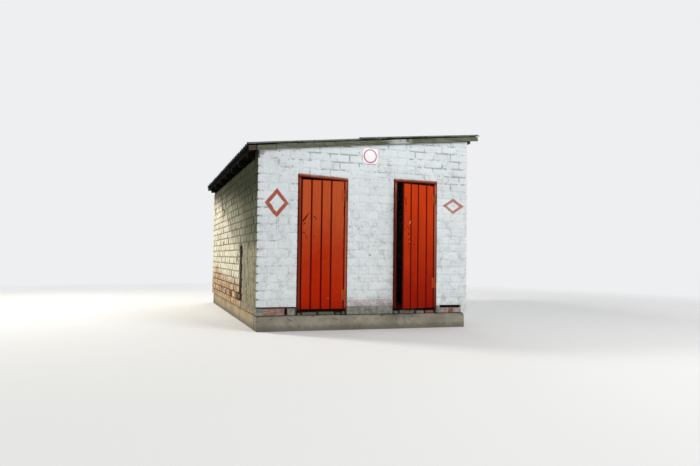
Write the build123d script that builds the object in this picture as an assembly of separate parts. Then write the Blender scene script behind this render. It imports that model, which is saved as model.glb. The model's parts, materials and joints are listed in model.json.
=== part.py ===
from build123d import *
import math
import os

# A small whitewashed brick outhouse with two board doors and a lean-to roof of corrugated sheets.
# Millimetres and degrees. The origin is the middle of the underside, +Z is up,
# the doors face -Y and the roof rises towards +X.

# Brickwork
BUILDING_WIDTH = 2900.0
BUILDING_DEPTH = 5020.0
WALL_THICKNESS = 250.0
LOW_WALL_HEIGHT = 2052.0    # front wall over the foundation, at its left end
COURSE_HEIGHT = 103.0
ROOF_PITCH = 6.0

# Foundation and floor
FOUNDATION_HEIGHT = 200.0
FOUNDATION_SETBACK = 15.0   # the brickwork hangs over the concrete by this much
THRESHOLD_HEIGHT = 64.0     # over the foundation, level with the floor
FLOOR_THICKNESS = 100.0

# Niche in the outside of the left wall
NICHE_WIDTH = 250.0
NICHE_DEPTH = 120.0
NICHE_START = 1140.0        # from the front corner
NICHE_COURSES = 7.5         # it stands on the first course

# Doorways, from the left corner along the front
LEFT_PIER_WIDTH = 515.0
LEFT_FRAME_WIDTH = 650.0
MIDDLE_PIER_WIDTH = 650.0
RIGHT_FRAME_WIDTH = 620.0
FRAME_HEIGHT = 1711.0
LEFT_HEAD_DROP = 30.0       # the left head has sunk at its hinge end
RIGHT_HEAD_DROP = 4.0

# Door frames
FRAME_FACE = 40.0           # width of a jamb, seen from the front
HEAD_FACE = 35.0
FRAME_DEPTH = 95.0
FRAME_PROUD = 8.0           # how far the frame stands out of the wall
STOP_WIDTH = 15.0
STOP_CLEARANCE = 5.0
SILL_HEIGHT = 30.0

# Door leaves: boards on two ledges and a brace
BOARD_THICKNESS = 25.0
BOARD_GAP = 3.0
BOARD_GROOVE = 8.0          # chamfer on both sides of each joint
LEDGE_THICKNESS = 25.0
LEDGE_WIDTH = 100.0
LEDGE_INSET = 25.0
BRACE_WIDTH = 80.0
HINGE_GAP = 6.0
FREE_GAP = 9.0
LEAF_BOTTOM_GAP = 6.0
LEAF_TOP_GAP = 6.0          # under the lower end of the left head
LEFT_BOARD_SHARES = (0.22, 0.24, 0.23, 0.31)    # from the free edge to the hinges
RIGHT_BOARD_SHARES = (0.235, 0.24, 0.28, 0.245)
RIGHT_DOOR_ANGLE = 17.0     # the right leaf stands ajar

# Hinges
KNUCKLE_RADIUS = 6.5
HINGE_LENGTH = 135.0
HINGE_PLATE_WIDTH = 32.0
HINGE_PLATE_THICKNESS = 3.0
KNUCKLE_CLEARANCE = 0.5
UPPER_HINGE_DROP = 181.0                # middle of the hinge, under the upper edge of the leaf
LEFT_LOWER_HINGE_HEIGHT = 179.0         # over the lower edge of the leaf
RIGHT_LOWER_HINGE_HEIGHT = 333.0

# Roof timbers
RAFTER_COUNT = 7
RAFTER_WIDTH = 50.0
RAFTER_DEPTH = 80.0
RAFTER_WALL_GAP = 20.0      # first rafter behind the front wall
RAFTER_LOW_TAIL = 95.0
RAFTER_HIGH_TAIL = 58.0
PURLIN_COUNT = 5
PURLIN_SIZE = 50.0
PURLIN_REACH = 15.0         # past the front and back walls
LOW_PURLIN_TAIL = 80.0      # lowest purlin, past the low wall
HIGH_PURLIN_INSET = 70.0    # highest purlin, inside the face of the high wall

# Verge boards
VERGE_THICKNESS = 22.0
VERGE_DEPTH = 58.0
VERGE_LOW_TAIL = 120.0
VERGE_HIGH_TAIL = 150.0
SHORT_BOARD_LENGTH = 340.0
SHORT_BOARD_DROP = 9.0
BOARD_END_GAP = 4.0

# Corrugated sheets
SHEET_LENGTH = 1750.0
SHEET_LAP = 270.0
SHEET_THICKNESS = 6.0
WAVE_PITCH = 150.0
WAVE_HEIGHT = 30.0
WAVES_PER_SHEET = 7
EAVES_OVERHANG = 130.0
VERGE_OVERHANG = 40.0
SHEET_SEAT = 0.5            # play between sheets that lie on each other

# Sign over the middle pier
SIGN_SIZE = 210.0
SIGN_THICKNESS = 2.0
SIGN_CORNER = 12.0
SIGN_MIDDLE = 1470.0        # from the left corner
SIGN_HEIGHT = 2255.0        # middle of the plate, over the ground

# Derived places
left_x = -BUILDING_WIDTH / 2
right_x = BUILDING_WIDTH / 2
front_y = -BUILDING_DEPTH / 2
back_y = BUILDING_DEPTH / 2
inner_front_y = front_y + WALL_THICKNESS
inner_back_y = back_y - WALL_THICKNESS
inner_left_x = left_x + WALL_THICKNESS
inner_right_x = right_x - WALL_THICKNESS
floor_z = FOUNDATION_HEIGHT + THRESHOLD_HEIGHT
frame_top_z = floor_z + FRAME_HEIGHT
low_wall_z = FOUNDATION_HEIGHT + LOW_WALL_HEIGHT
face_y = front_y - FRAME_PROUD

left_frame_x = left_x + LEFT_PIER_WIDTH
middle_pier_x = left_frame_x + LEFT_FRAME_WIDTH
right_frame_x = middle_pier_x + MIDDLE_PIER_WIDTH
right_pier_x = right_frame_x + RIGHT_FRAME_WIDTH

slope = math.tan(math.radians(ROOF_PITCH))
slope_length = BUILDING_WIDTH / math.cos(math.radians(ROOF_PITCH))
leaf_bottom_z = floor_z + LEAF_BOTTOM_GAP
leaf_top_z = frame_top_z - HEAD_FACE - LEFT_HEAD_DROP - LEAF_TOP_GAP


def block(x0, x1, y0, y1, z0, z1):
    """Box between two corners."""
    return Pos((x0 + x1) / 2, (y0 + y1) / 2, (z0 + z1) / 2) * Box(x1 - x0, y1 - y0, z1 - z0)


def prism(outline, y0, y1):
    """Solid with an outline of (x, z) points, from y0 to y1."""
    points = [(x, y0, z) for x, z in outline]
    face = make_face(Polyline(*points, close=True))
    return extrude(face, amount=y1 - y0, dir=(0, 1, 0))


def roof_z(x, under=0.0):
    """Height of the front wall's sloping top at x, or of a plane that much under it."""
    return low_wall_z + (x - left_x) * slope - under / math.cos(math.radians(ROOF_PITCH))


def wall(x0, x1, y0, y1, low_z, under=0.0, low_right_z=None):
    """Wall whose top follows the roof. Its lower edge may slope too."""
    if low_right_z is None:
        low_right_z = low_z
    return prism([(x0, low_z), (x1, low_right_z), (x1, roof_z(x1, under)), (x0, roof_z(x0, under))], y0, y1)


def on_slope(shape):
    """Moves a shape from the roof's own frame, x up the slope and z square to it, to its place."""
    return Location((left_x, 0, low_wall_z), (0, -ROOF_PITCH, 0)) * shape


def save(name, *solids):
    """Writes one node, which may hold several solids."""
    shape = solids[0] if len(solids) == 1 else Compound(children=list(solids))
    export_step(shape, f"parts/{name}.step")


def foundation():
    """Concrete strips under the four walls, set back from the brickwork."""
    x0 = left_x + FOUNDATION_SETBACK
    x1 = right_x - FOUNDATION_SETBACK
    y0 = front_y + FOUNDATION_SETBACK
    y1 = back_y - FOUNDATION_SETBACK
    top = FOUNDATION_HEIGHT
    save("foundation_front", block(x0, x1, y0, inner_front_y, 0, top))
    save("foundation_back", block(x0, x1, inner_back_y, y1, 0, top))
    save("foundation_left", block(x0, inner_left_x, inner_front_y, inner_back_y, 0, top))
    save("foundation_right", block(inner_right_x, x1, inner_front_y, inner_back_y, 0, top))


def floor():
    """Concrete slab on rubble fill, between the foundation strips."""
    slab_z = floor_z - FLOOR_THICKNESS
    room = (inner_left_x, inner_right_x, inner_front_y, inner_back_y)
    save("floor_fill", block(*room, 0, slab_z))
    save("floor_slab", block(*room, slab_z, floor_z))


def walls():
    """Brick walls. The front one is split beside and over its two doorways."""
    base = FOUNDATION_HEIGHT
    front = (front_y, inner_front_y)
    save("front_pier_left", wall(left_x, left_frame_x, *front, base))
    save("front_pier_middle", wall(middle_pier_x, right_frame_x, *front, base))
    save("front_pier_right", wall(right_pier_x, right_x, *front, base))
    save("wall_over_left_door",
         wall(left_frame_x, middle_pier_x, *front, frame_top_z, 0, frame_top_z - LEFT_HEAD_DROP))
    save("wall_over_right_door",
         wall(right_frame_x, right_pier_x, *front, frame_top_z, 0, frame_top_z - RIGHT_HEAD_DROP))
    save("left_threshold", block(left_frame_x, middle_pier_x, *front, base, floor_z))
    save("right_threshold", block(right_frame_x, right_pier_x, *front, base, floor_z))
    save("back_wall", wall(left_x, right_x, inner_back_y, back_y, base))
    niche_y = front_y + NICHE_START
    niche_z = base + COURSE_HEIGHT
    niche = block(left_x - NICHE_DEPTH, left_x + NICHE_DEPTH, niche_y, niche_y + NICHE_WIDTH,
                  niche_z, niche_z + NICHE_COURSES * COURSE_HEIGHT)
    save("left_wall", wall(left_x, inner_left_x, inner_front_y, inner_back_y, base, RAFTER_DEPTH) - niche)
    save("right_wall", wall(inner_right_x, right_x, inner_front_y, inner_back_y, base, RAFTER_DEPTH))


def rafters():
    """Timbers down the slope, on the two side walls."""
    first_y = inner_front_y + RAFTER_WALL_GAP + RAFTER_WIDTH / 2
    spacing = -2 * first_y / (RAFTER_COUNT - 1)
    made = []
    for number in range(RAFTER_COUNT):
        y = first_y + number * spacing
        timber = block(-RAFTER_LOW_TAIL, slope_length + RAFTER_HIGH_TAIL,
                       y - RAFTER_WIDTH / 2, y + RAFTER_WIDTH / 2, -RAFTER_DEPTH, 0)
        made.append(on_slope(timber))
    save("rafters", *made)


def purlins():
    """Square timbers from front to back, on the rafters and the front and back walls."""
    low = -LOW_PURLIN_TAIL
    high = slope_length - HIGH_PURLIN_INSET
    reach = BUILDING_DEPTH / 2 + PURLIN_REACH
    made = []
    for number in range(PURLIN_COUNT):
        x = low + number * (high - low) / (PURLIN_COUNT - 1)
        made.append(on_slope(block(x, x + PURLIN_SIZE, -reach, reach, 0, PURLIN_SIZE)))
    save("purlins", *made)


def verge_boards():
    """Boards on the ends of the purlins. The front one is in two lengths, and the short one has sunk."""
    low = -VERGE_LOW_TAIL
    high = slope_length + VERGE_HIGH_TAIL
    inner = BUILDING_DEPTH / 2 + PURLIN_REACH
    outer = inner + VERGE_THICKNESS
    top = PURLIN_SIZE
    split = low + SHORT_BOARD_LENGTH
    save("front_verge_short_board",
         on_slope(block(low, split, -outer, -inner, top - VERGE_DEPTH - SHORT_BOARD_DROP, top - SHORT_BOARD_DROP)))
    save("front_verge_board",
         on_slope(block(split + BOARD_END_GAP, high, -outer, -inner, top - VERGE_DEPTH, top)))
    save("back_verge_board", on_slope(block(low, high, inner, outer, top - VERGE_DEPTH, top)))


def corrugated_sheet(start_y, first, end):
    """One sheet, its waves running along x from 0, made of tangent arcs.
    Its half waves count from first to before end, and even ones are crests. The crest 0 starts at start_y
    and is lifted so that it lies on the last crest of the sheet before it."""
    step = WAVE_PITCH / 2
    rise = WAVE_HEIGHT / 2
    lift = SHEET_THICKNESS + SHEET_SEAT
    tilt = lift / ((WAVES_PER_SHEET - 1) * WAVE_PITCH)

    def point(run, height):
        return (0, start_y + run, rise + height + lift - tilt * run)

    def edge(height):
        arcs = []
        for number in range(first, end):
            bow = rise if number % 2 == 0 else -rise
            start = number * step
            arcs.append(ThreePointArc(point(start, height), point(start + step / 2, height + bow),
                                      point(start + step, height)))
        return arcs

    low = first * step
    high = end * step
    first_end = Line(point(low, 0), point(low, SHEET_THICKNESS))
    last_end = Line(point(high, 0), point(high, SHEET_THICKNESS))
    outline = Wire([*edge(0), last_end, *edge(SHEET_THICKNESS), first_end])
    return extrude(Face(outline), amount=SHEET_LENGTH, dir=(1, 0, 0))


def sheets():
    """Two rows of corrugated sheets on the purlins. The upper row lies on the lower one."""
    low_x = -EAVES_OVERHANG / math.cos(math.radians(ROOF_PITCH))
    high_x = low_x + 2 * SHEET_LENGTH - SHEET_LAP
    stack = 2 * (SHEET_THICKNESS + SHEET_SEAT)
    lap_tilt = math.degrees(math.atan(stack / (SHEET_LENGTH - SHEET_LAP)))
    half_wave = WAVE_PITCH / 2
    waves = round((BUILDING_DEPTH + 2 * VERGE_OVERHANG) / WAVE_PITCH)
    end_y = waves * WAVE_PITCH / 2
    start_y = -end_y + half_wave / 2
    kept = block(0, SHEET_LENGTH, -end_y, end_y, -WAVE_HEIGHT, 3 * WAVE_HEIGHT)
    full = 2 * WAVES_PER_SHEET - 1
    crests = 2 * waves - 1
    lower = []
    upper = []
    for first in range(0, crests - 1, full - 1):
        is_first = first == 0
        is_last = first + full >= crests
        count = crests - first if is_last else full
        sheet = corrugated_sheet(start_y + first * half_wave, -1 if is_first else 0, count + is_last)
        if is_first or is_last:
            sheet &= kept
        lower.append(on_slope(Pos(low_x, 0, PURLIN_SIZE) * sheet))
        raised = Location((high_x, 0, PURLIN_SIZE), (0, lap_tilt, 0)) * Pos(-SHEET_LENGTH, 0, 0) * sheet
        upper.append(on_slope(raised))
    save("roof_sheets_lower", *lower)
    save("roof_sheets_upper", *upper)


def door_frame(name, x0, width, head_drop):
    """Jambs, head, sill and stops of one doorway."""
    x1 = x0 + width
    back = face_y + FRAME_DEPTH
    stop_y = face_y + BOARD_THICKNESS + LEDGE_THICKNESS + STOP_CLEARANCE
    fall = head_drop / width

    def head_z(x):
        return frame_top_z - fall * (x - x0)

    def upright(a, b, y0):
        tops = [(b, head_z(b) - HEAD_FACE), (a, head_z(a) - HEAD_FACE)]
        return prism([(a, floor_z), (b, floor_z), *tops], y0, back)

    inner0 = x0 + FRAME_FACE
    inner1 = x1 - FRAME_FACE
    save(f"{name}_door_jambs", upright(x0, inner0, face_y), upright(inner1, x1, face_y))
    head = [(x0, head_z(x0) - HEAD_FACE), (x1, head_z(x1) - HEAD_FACE), (x1, head_z(x1)), (x0, head_z(x0))]
    save(f"{name}_door_head", prism(head, face_y, back))
    save(f"{name}_door_sill", block(inner0, inner1, stop_y, back, floor_z, floor_z + SILL_HEIGHT))
    stops = []
    for a, b in ((inner0, inner0 + STOP_WIDTH), (inner1 - STOP_WIDTH, inner1)):
        tops = [(b, head_z(b) - HEAD_FACE), (a, head_z(a) - HEAD_FACE)]
        low = floor_z + SILL_HEIGHT
        stops.append(prism([(a, low), (b, low), *tops], stop_y, back))
    save(f"{name}_door_stops", *stops)


def hinge_place(x0, width):
    """Axis of the hinges on the right jamb, as (x, y)."""
    return x0 + width - FRAME_FACE - HINGE_GAP / 2, face_y - KNUCKLE_RADIUS


def hinge_half(axis_x, axis_y, middle_z, side, zones):
    """Plate and knuckles of one half of a hinge. side is 1 on the jamb and -1 on the leaf."""
    low = middle_z - HINGE_LENGTH / 2
    third = HINGE_LENGTH / 3
    plate_y = face_y - HINGE_PLATE_THICKNESS
    near = KNUCKLE_RADIUS + KNUCKLE_CLEARANCE
    ends = sorted((axis_x + side * near, axis_x + side * HINGE_PLATE_WIDTH))
    half = block(*ends, plate_y, face_y, low, low + HINGE_LENGTH)
    for zone in zones:
        z0 = low + zone * third + KNUCKLE_CLEARANCE / 2
        height = third - KNUCKLE_CLEARANCE
        tab_ends = sorted((axis_x, axis_x + side * near))
        half += block(*tab_ends, plate_y, face_y, z0, z0 + height)
        half += Pos(axis_x, axis_y, z0 + height / 2) * Cylinder(KNUCKLE_RADIUS, height)
    return half


def door_leaf(name, x0, width, shares, lower_hinge, opened):
    """Boards, ledges, brace and hinges of one leaf, which turns about its hinges by opened degrees."""
    axis_x, axis_y = hinge_place(x0, width)
    leaf_x0 = x0 + FRAME_FACE + FREE_GAP
    leaf_x1 = x0 + width - FRAME_FACE - HINGE_GAP
    leaf_width = leaf_x1 - leaf_x0
    ledge_y = face_y + BOARD_THICKNESS
    ledge_back = ledge_y + LEDGE_THICKNESS
    heights = (leaf_bottom_z + lower_hinge, leaf_top_z - UPPER_HINGE_DROP)

    def opened_leaf(solid):
        return Pos(axis_x, axis_y, 0) * Rot(0, 0, opened) * Pos(-axis_x, -axis_y, 0) * solid

    boards = []
    x = leaf_x0
    for number, share in enumerate(shares):
        end = x + share * leaf_width
        first = number == 0
        last = number == len(shares) - 1
        board = block(x + (0 if first else BOARD_GAP / 2), end - (0 if last else BOARD_GAP / 2),
                      face_y, face_y + BOARD_THICKNESS, leaf_bottom_z, leaf_top_z)
        uprights = board.edges().filter_by(Axis.Z).group_by(Axis.Y)[0].sort_by(Axis.X)
        grooved = [edge for edge, plain in zip(uprights, (first, last)) if not plain]
        board = chamfer(grooved, BOARD_GROOVE)
        boards.append(opened_leaf(board))
        x = end
    save(f"{name}_door_boards", *boards)

    ledge_x0 = leaf_x0 + LEDGE_INSET
    ledge_x1 = leaf_x1 - LEDGE_INSET
    ledges = []
    for height in heights:
        ledges.append(opened_leaf(block(ledge_x0, ledge_x1, ledge_y, ledge_back,
                                        height - LEDGE_WIDTH / 2, height + LEDGE_WIDTH / 2)))
    save(f"{name}_door_ledges", *ledges)

    low = heights[0] + LEDGE_WIDTH / 2
    high = heights[1] - LEDGE_WIDTH / 2
    brace = prism([(ledge_x1 - BRACE_WIDTH, low), (ledge_x1, low),
                   (ledge_x0 + BRACE_WIDTH, high), (ledge_x0, high)], ledge_y, ledge_back)
    save(f"{name}_door_brace", opened_leaf(brace))

    save(f"{name}_door_hinges",
         *[opened_leaf(hinge_half(axis_x, axis_y, z, -1, (1,))) for z in heights])
    save(f"{name}_frame_hinges",
         *[hinge_half(axis_x, axis_y, z, 1, (0, 2)) for z in heights])


def sign():
    """Square plate with rounded corners on the front wall."""
    plate = block(left_x + SIGN_MIDDLE - SIGN_SIZE / 2, left_x + SIGN_MIDDLE + SIGN_SIZE / 2,
                  front_y - SIGN_THICKNESS, front_y, SIGN_HEIGHT - SIGN_SIZE / 2, SIGN_HEIGHT + SIGN_SIZE / 2)
    save("sign_plate", fillet(plate.edges().filter_by(Axis.Y), SIGN_CORNER))


os.makedirs("parts", exist_ok=True)
foundation()
floor()
walls()
rafters()
purlins()
verge_boards()
sheets()
door_frame("left", left_frame_x, LEFT_FRAME_WIDTH, LEFT_HEAD_DROP)
door_frame("right", right_frame_x, RIGHT_FRAME_WIDTH, RIGHT_HEAD_DROP)
door_leaf("left", left_frame_x, LEFT_FRAME_WIDTH, LEFT_BOARD_SHARES, LEFT_LOWER_HINGE_HEIGHT, 0)
door_leaf("right", right_frame_x, RIGHT_FRAME_WIDTH, RIGHT_BOARD_SHARES, RIGHT_LOWER_HINGE_HEIGHT,
          RIGHT_DOOR_ANGLE)
sign()
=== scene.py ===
"""Looks of a small whitewashed brick outhouse: brickwork, board doors, corrugated roof and their finishes."""

import json
import logging
import math
import random
from dataclasses import dataclass
from enum import Enum
from typing import Callable, Iterable, Sequence

import bmesh
import bpy
from mathutils import Matrix, Vector, noise
from mathutils.bvhtree import BVHTree


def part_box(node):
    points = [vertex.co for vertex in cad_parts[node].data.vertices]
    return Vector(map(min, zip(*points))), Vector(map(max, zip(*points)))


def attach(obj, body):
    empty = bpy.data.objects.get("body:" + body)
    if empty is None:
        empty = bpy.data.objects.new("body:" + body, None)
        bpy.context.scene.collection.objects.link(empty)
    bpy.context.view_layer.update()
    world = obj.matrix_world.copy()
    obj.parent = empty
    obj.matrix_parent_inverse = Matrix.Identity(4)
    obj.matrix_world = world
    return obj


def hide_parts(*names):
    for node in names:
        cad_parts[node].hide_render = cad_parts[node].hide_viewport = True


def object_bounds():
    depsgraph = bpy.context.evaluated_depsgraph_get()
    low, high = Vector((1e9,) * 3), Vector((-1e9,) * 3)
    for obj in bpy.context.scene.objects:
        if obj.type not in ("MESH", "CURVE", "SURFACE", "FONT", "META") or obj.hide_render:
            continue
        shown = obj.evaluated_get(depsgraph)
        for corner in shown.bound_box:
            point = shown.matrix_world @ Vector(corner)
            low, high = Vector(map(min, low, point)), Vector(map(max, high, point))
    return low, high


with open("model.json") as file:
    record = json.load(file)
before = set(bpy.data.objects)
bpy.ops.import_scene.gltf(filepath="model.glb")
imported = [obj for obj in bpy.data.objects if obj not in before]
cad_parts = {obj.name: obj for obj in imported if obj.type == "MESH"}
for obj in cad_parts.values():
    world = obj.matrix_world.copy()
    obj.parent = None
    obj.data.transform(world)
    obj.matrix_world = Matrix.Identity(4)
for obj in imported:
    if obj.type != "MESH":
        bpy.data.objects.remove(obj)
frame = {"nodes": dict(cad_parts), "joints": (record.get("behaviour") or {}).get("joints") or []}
cad_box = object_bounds()
log = logging.getLogger("outhouse")

Colour = tuple[float, float, float]
Span = tuple[float, float]
Triple = tuple[float, float, float]
Material = bpy.types.Material
Socket = bpy.types.NodeSocket
Vert = bmesh.types.BMVert

ACROSS = Vector((1, 0, 0))
INTO = Vector((0, 1, 0))
UP = Vector((0, 0, 1))
NOISE_SEED = 5


class Body(Enum):
    """Parts of the building that move as one."""

    BUILDING = "building"
    LEFT_DOOR = "left_door"
    RIGHT_DOOR = "right_door"


class Side(Enum):
    """The four walls, by the way that their outer faces look."""

    FRONT = (0, -1)
    BACK = (0, 1)
    LEFT = (-1, 0)
    RIGHT = (1, 0)

    @property
    def outward(self) -> Vector:
        """Direction that the outer face looks in."""
        return Vector((*self.value, 0))

    @property
    def along(self) -> Vector:
        """Direction to the right for somebody who looks at the face."""
        return UP.cross(self.outward)


# Shader graphs


def operator(operation: str, reflected: bool = False) -> Callable[..., "Value"]:
    """Makes an operator of the class Value.

    Args:
        operation: The operation of the Math node that it adds.
        reflected: Whether the value is the second term.

    Returns:
        The operator.
    """

    def apply(value: "Value", *others: "Value | float") -> "Value":
        """Adds the Math node."""
        return value.graph.maths(operation, *((*others, value) if reflected else (value, *others)))

    return apply


class Value:
    """A socket that holds one number. Its operators add Math nodes."""

    def __init__(self, graph: "Tree", socket: Socket) -> None:
        """Keeps the graph and the socket."""
        self.graph = graph
        self.socket = socket

    __add__, __radd__ = operator("ADD"), operator("ADD", True)
    __sub__, __rsub__ = operator("SUBTRACT"), operator("SUBTRACT", True)
    __mul__, __rmul__ = operator("MULTIPLY"), operator("MULTIPLY", True)
    __truediv__, __rtruediv__ = operator("DIVIDE"), operator("DIVIDE", True)
    __pow__, __rpow__ = operator("POWER"), operator("POWER", True)
    __abs__, least, most = operator("ABSOLUTE"), operator("MINIMUM"), operator("MAXIMUM")

    def held(self) -> "Value":
        """The value, held between 0 and 1."""
        return self.graph.maths("ADD", self, 0.0, clamp=True)

    def step(self, low: float, high: float) -> "Value":
        """Smooth step from 0 at low to 1 at high; low may be above high."""
        return self.graph.value("ShaderNodeMapRange", {"interpolation_type": "SMOOTHSTEP"},
                                {"Value": self, "From Min": low, "From Max": high})


class Tree:
    """A node tree that is filled node by node."""

    def __init__(self, tree: bpy.types.NodeTree) -> None:
        """Empties the tree."""
        self.tree = tree
        tree.nodes.clear()

    def node(self, kind: str, settings: dict | None = None, sockets: dict | None = None) -> bpy.types.Node:
        """Adds one node.

        Args:
            kind: The node's type.
            settings: Its properties, which are set first.
            sockets: The values or links of its inputs, by name or number.

        Returns:
            The node.
        """
        made = self.tree.nodes.new(kind)
        for name, value in (settings or {}).items():
            setattr(made, name, value)
        for name, value in (sockets or {}).items():
            target = made.inputs[name]
            if isinstance(value, Value):
                value = value.socket
            if isinstance(value, Socket):
                self.tree.links.new(value, target)
            elif isinstance(value, tuple) and len(value) == 3 and target.type == "RGBA":
                target.default_value = (*value, 1)
            else:
                target.default_value = value
        return made

    def value(self, kind: str, settings: dict | None = None, sockets: dict | None = None,
              output: int | str = 0) -> Value:
        """One output of a new node, as a number."""
        return Value(self, self.node(kind, settings, sockets).outputs[output])

    def maths(self, operation: str, *terms: Value | float, clamp: bool = False) -> Value:
        """Result of a new Math node, held between 0 and 1 if clamp is set."""
        return self.value("ShaderNodeMath", {"operation": operation, "use_clamp": clamp},
                          dict(enumerate(terms)))


class Graph(Tree):
    """The node tree of one material, with the patterns that the finishes share."""

    def __init__(self, name: str) -> None:
        """Makes an empty material and its object coordinates.

        Args:
            name: The material's name.
        """
        self.material = bpy.data.materials.new(name)
        self.material.use_nodes = True
        super().__init__(self.material.node_tree)
        self.place = self.node("ShaderNodeTexCoord").outputs["Object"]
        parts = self.node("ShaderNodeSeparateXYZ", None, {0: self.place})
        self.x, self.y, self.z = (Value(self, socket) for socket in parts.outputs)

    def vector(self, operation: str, sockets: dict) -> Socket:
        """Result of a new Vector Math node."""
        return self.node("ShaderNodeVectorMath", {"operation": operation}, sockets).outputs[0]

    def stretched(self, x: float, y: float, z: float, turn: float = 0.0) -> Socket:
        """Object coordinates scaled by axis, after a turn about Z.

        Args:
            x: Scale along X.
            y: Scale along Y.
            z: Scale along Z.
            turn: The turn in degrees.

        Returns:
            The vector socket.
        """
        turned = self.place
        if turn:
            turned = self.node("ShaderNodeVectorRotate", {"rotation_type": "Z_AXIS"},
                               {"Vector": self.place, "Angle": math.radians(turn)}).outputs[0]
        return self.vector("MULTIPLY", {0: turned, 1: (x, y, z)})

    def bent(self, amount: float, scale: float, upright: float) -> Socket:
        """Object coordinates pushed about by noise, so that patterns on them lose their straight lines.

        Args:
            amount: How far they are pushed, in metres.
            scale: How many waves there are in a metre.
            upright: Scale along Z.

        Returns:
            The vector socket.
        """
        waves = self.node("ShaderNodeTexNoise", None, {"Vector": self.place, "Scale": scale, "Detail": 2.0})
        push = self.vector("SCALE", {0: waves.outputs[1], "Scale": amount})
        return self.vector("ADD", {0: self.stretched(1.0, 1.0, upright), 1: push})

    def noise(self, scale: float, detail: float = 3.0, rough: float = 0.55, place: Socket | None = None,
              twist: float = 0.0) -> Value:
        """Noise between 0 and 1 about 0.5.

        Args:
            scale: How many features there are in a metre.
            detail: How many finer layers are added.
            rough: How strong the finer layers are.
            place: The coordinates; the object's own by default.
            twist: How much the pattern is distorted.

        Returns:
            The noise.
        """
        return self.value("ShaderNodeTexNoise", None, {
            "Vector": place or self.place, "Scale": scale, "Detail": detail, "Roughness": rough,
            "Distortion": twist})

    def cells(self, scale: float, feature: str = "F1", place: Socket | None = None) -> Value:
        """Distance to scattered points, or with DISTANCE_TO_EDGE to the lines between them."""
        return self.value("ShaderNodeTexVoronoi", {"feature": feature},
                          {"Vector": place or self.place, "Scale": scale}, "Distance")

    def layer(self, name: str) -> Value:
        """A number that the mesh carries under that name."""
        return self.value("ShaderNodeAttribute", {"attribute_name": name}, None, "Fac")

    def coats(self, colour: Colour | Socket, *layers: tuple[Value | float, Colour | Socket]) -> Socket:
        """Lays colours over a first one in turn.

        Args:
            colour: The first colour.
            layers: How much of it each next colour hides, and that colour.

        Returns:
            The colour socket.
        """
        for share, cover in layers:
            colour = self.node("ShaderNodeMix", {"data_type": "RGBA", "clamp_factor": True},
                               {0: share, 6: colour, 7: cover}).outputs[2]
        return colour

    def finish(self, colour: Colour | Socket, roughness: Value | float, height: Value | None = None,
               depth: float = 0.002, **fixed: float | Colour) -> Material:
        """Closes the graph with one surface shader.

        Args:
            colour: The base colour.
            roughness: The roughness.
            height: The relief, between 0 and 1.
            depth: How many metres the relief stands for.
            fixed: Values of other sockets, by name with underscores.

        Returns:
            The material.
        """
        sockets = {"Base Color": colour, "Roughness": roughness}
        sockets |= {name.replace("_", " "): value for name, value in fixed.items()}
        if height is not None:
            bump = self.node("ShaderNodeBump", None, {"Height": height, "Distance": depth, "Strength": 1.0})
            sockets["Normal"] = bump.outputs[0]
        shader = self.node("ShaderNodeBsdfPrincipled", None, sockets)
        self.node("ShaderNodeOutputMaterial", None, {0: shader.outputs[0]})
        return self.material


# Finishes


@dataclass(frozen=True)
class BrushMark:
    """A lozenge painted on the front wall in one pass of a brush."""

    x: float
    z: float
    half_width: float
    half_height: float
    stroke: float
    cover: float = 0.95
    edge: float = 0.004

    def share(self, g: Graph) -> Value:
        """Where the stroke lies.

        Args:
            g: The graph that it is drawn in.

        Returns:
            Its cover in the stroke and 0 outside it.
        """
        shake = (g.noise(7.0, 2.0) - 0.5) * 0.03
        across = abs(g.x - self.x + shake) / self.half_width
        upright = abs(g.z - self.z + shake) / self.half_height
        steepness = math.hypot(1 / self.half_width, 1 / self.half_height)
        away = abs(across + upright - 1.0) / steepness
        dry = g.noise(1.0, 3.0, 0.7, g.stretched(150, 150, 18)).step(0.52, 0.72)
        half = self.stroke / 2
        return away.step(half + self.edge, half - self.edge) * (self.cover - dry * 0.30)


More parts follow.
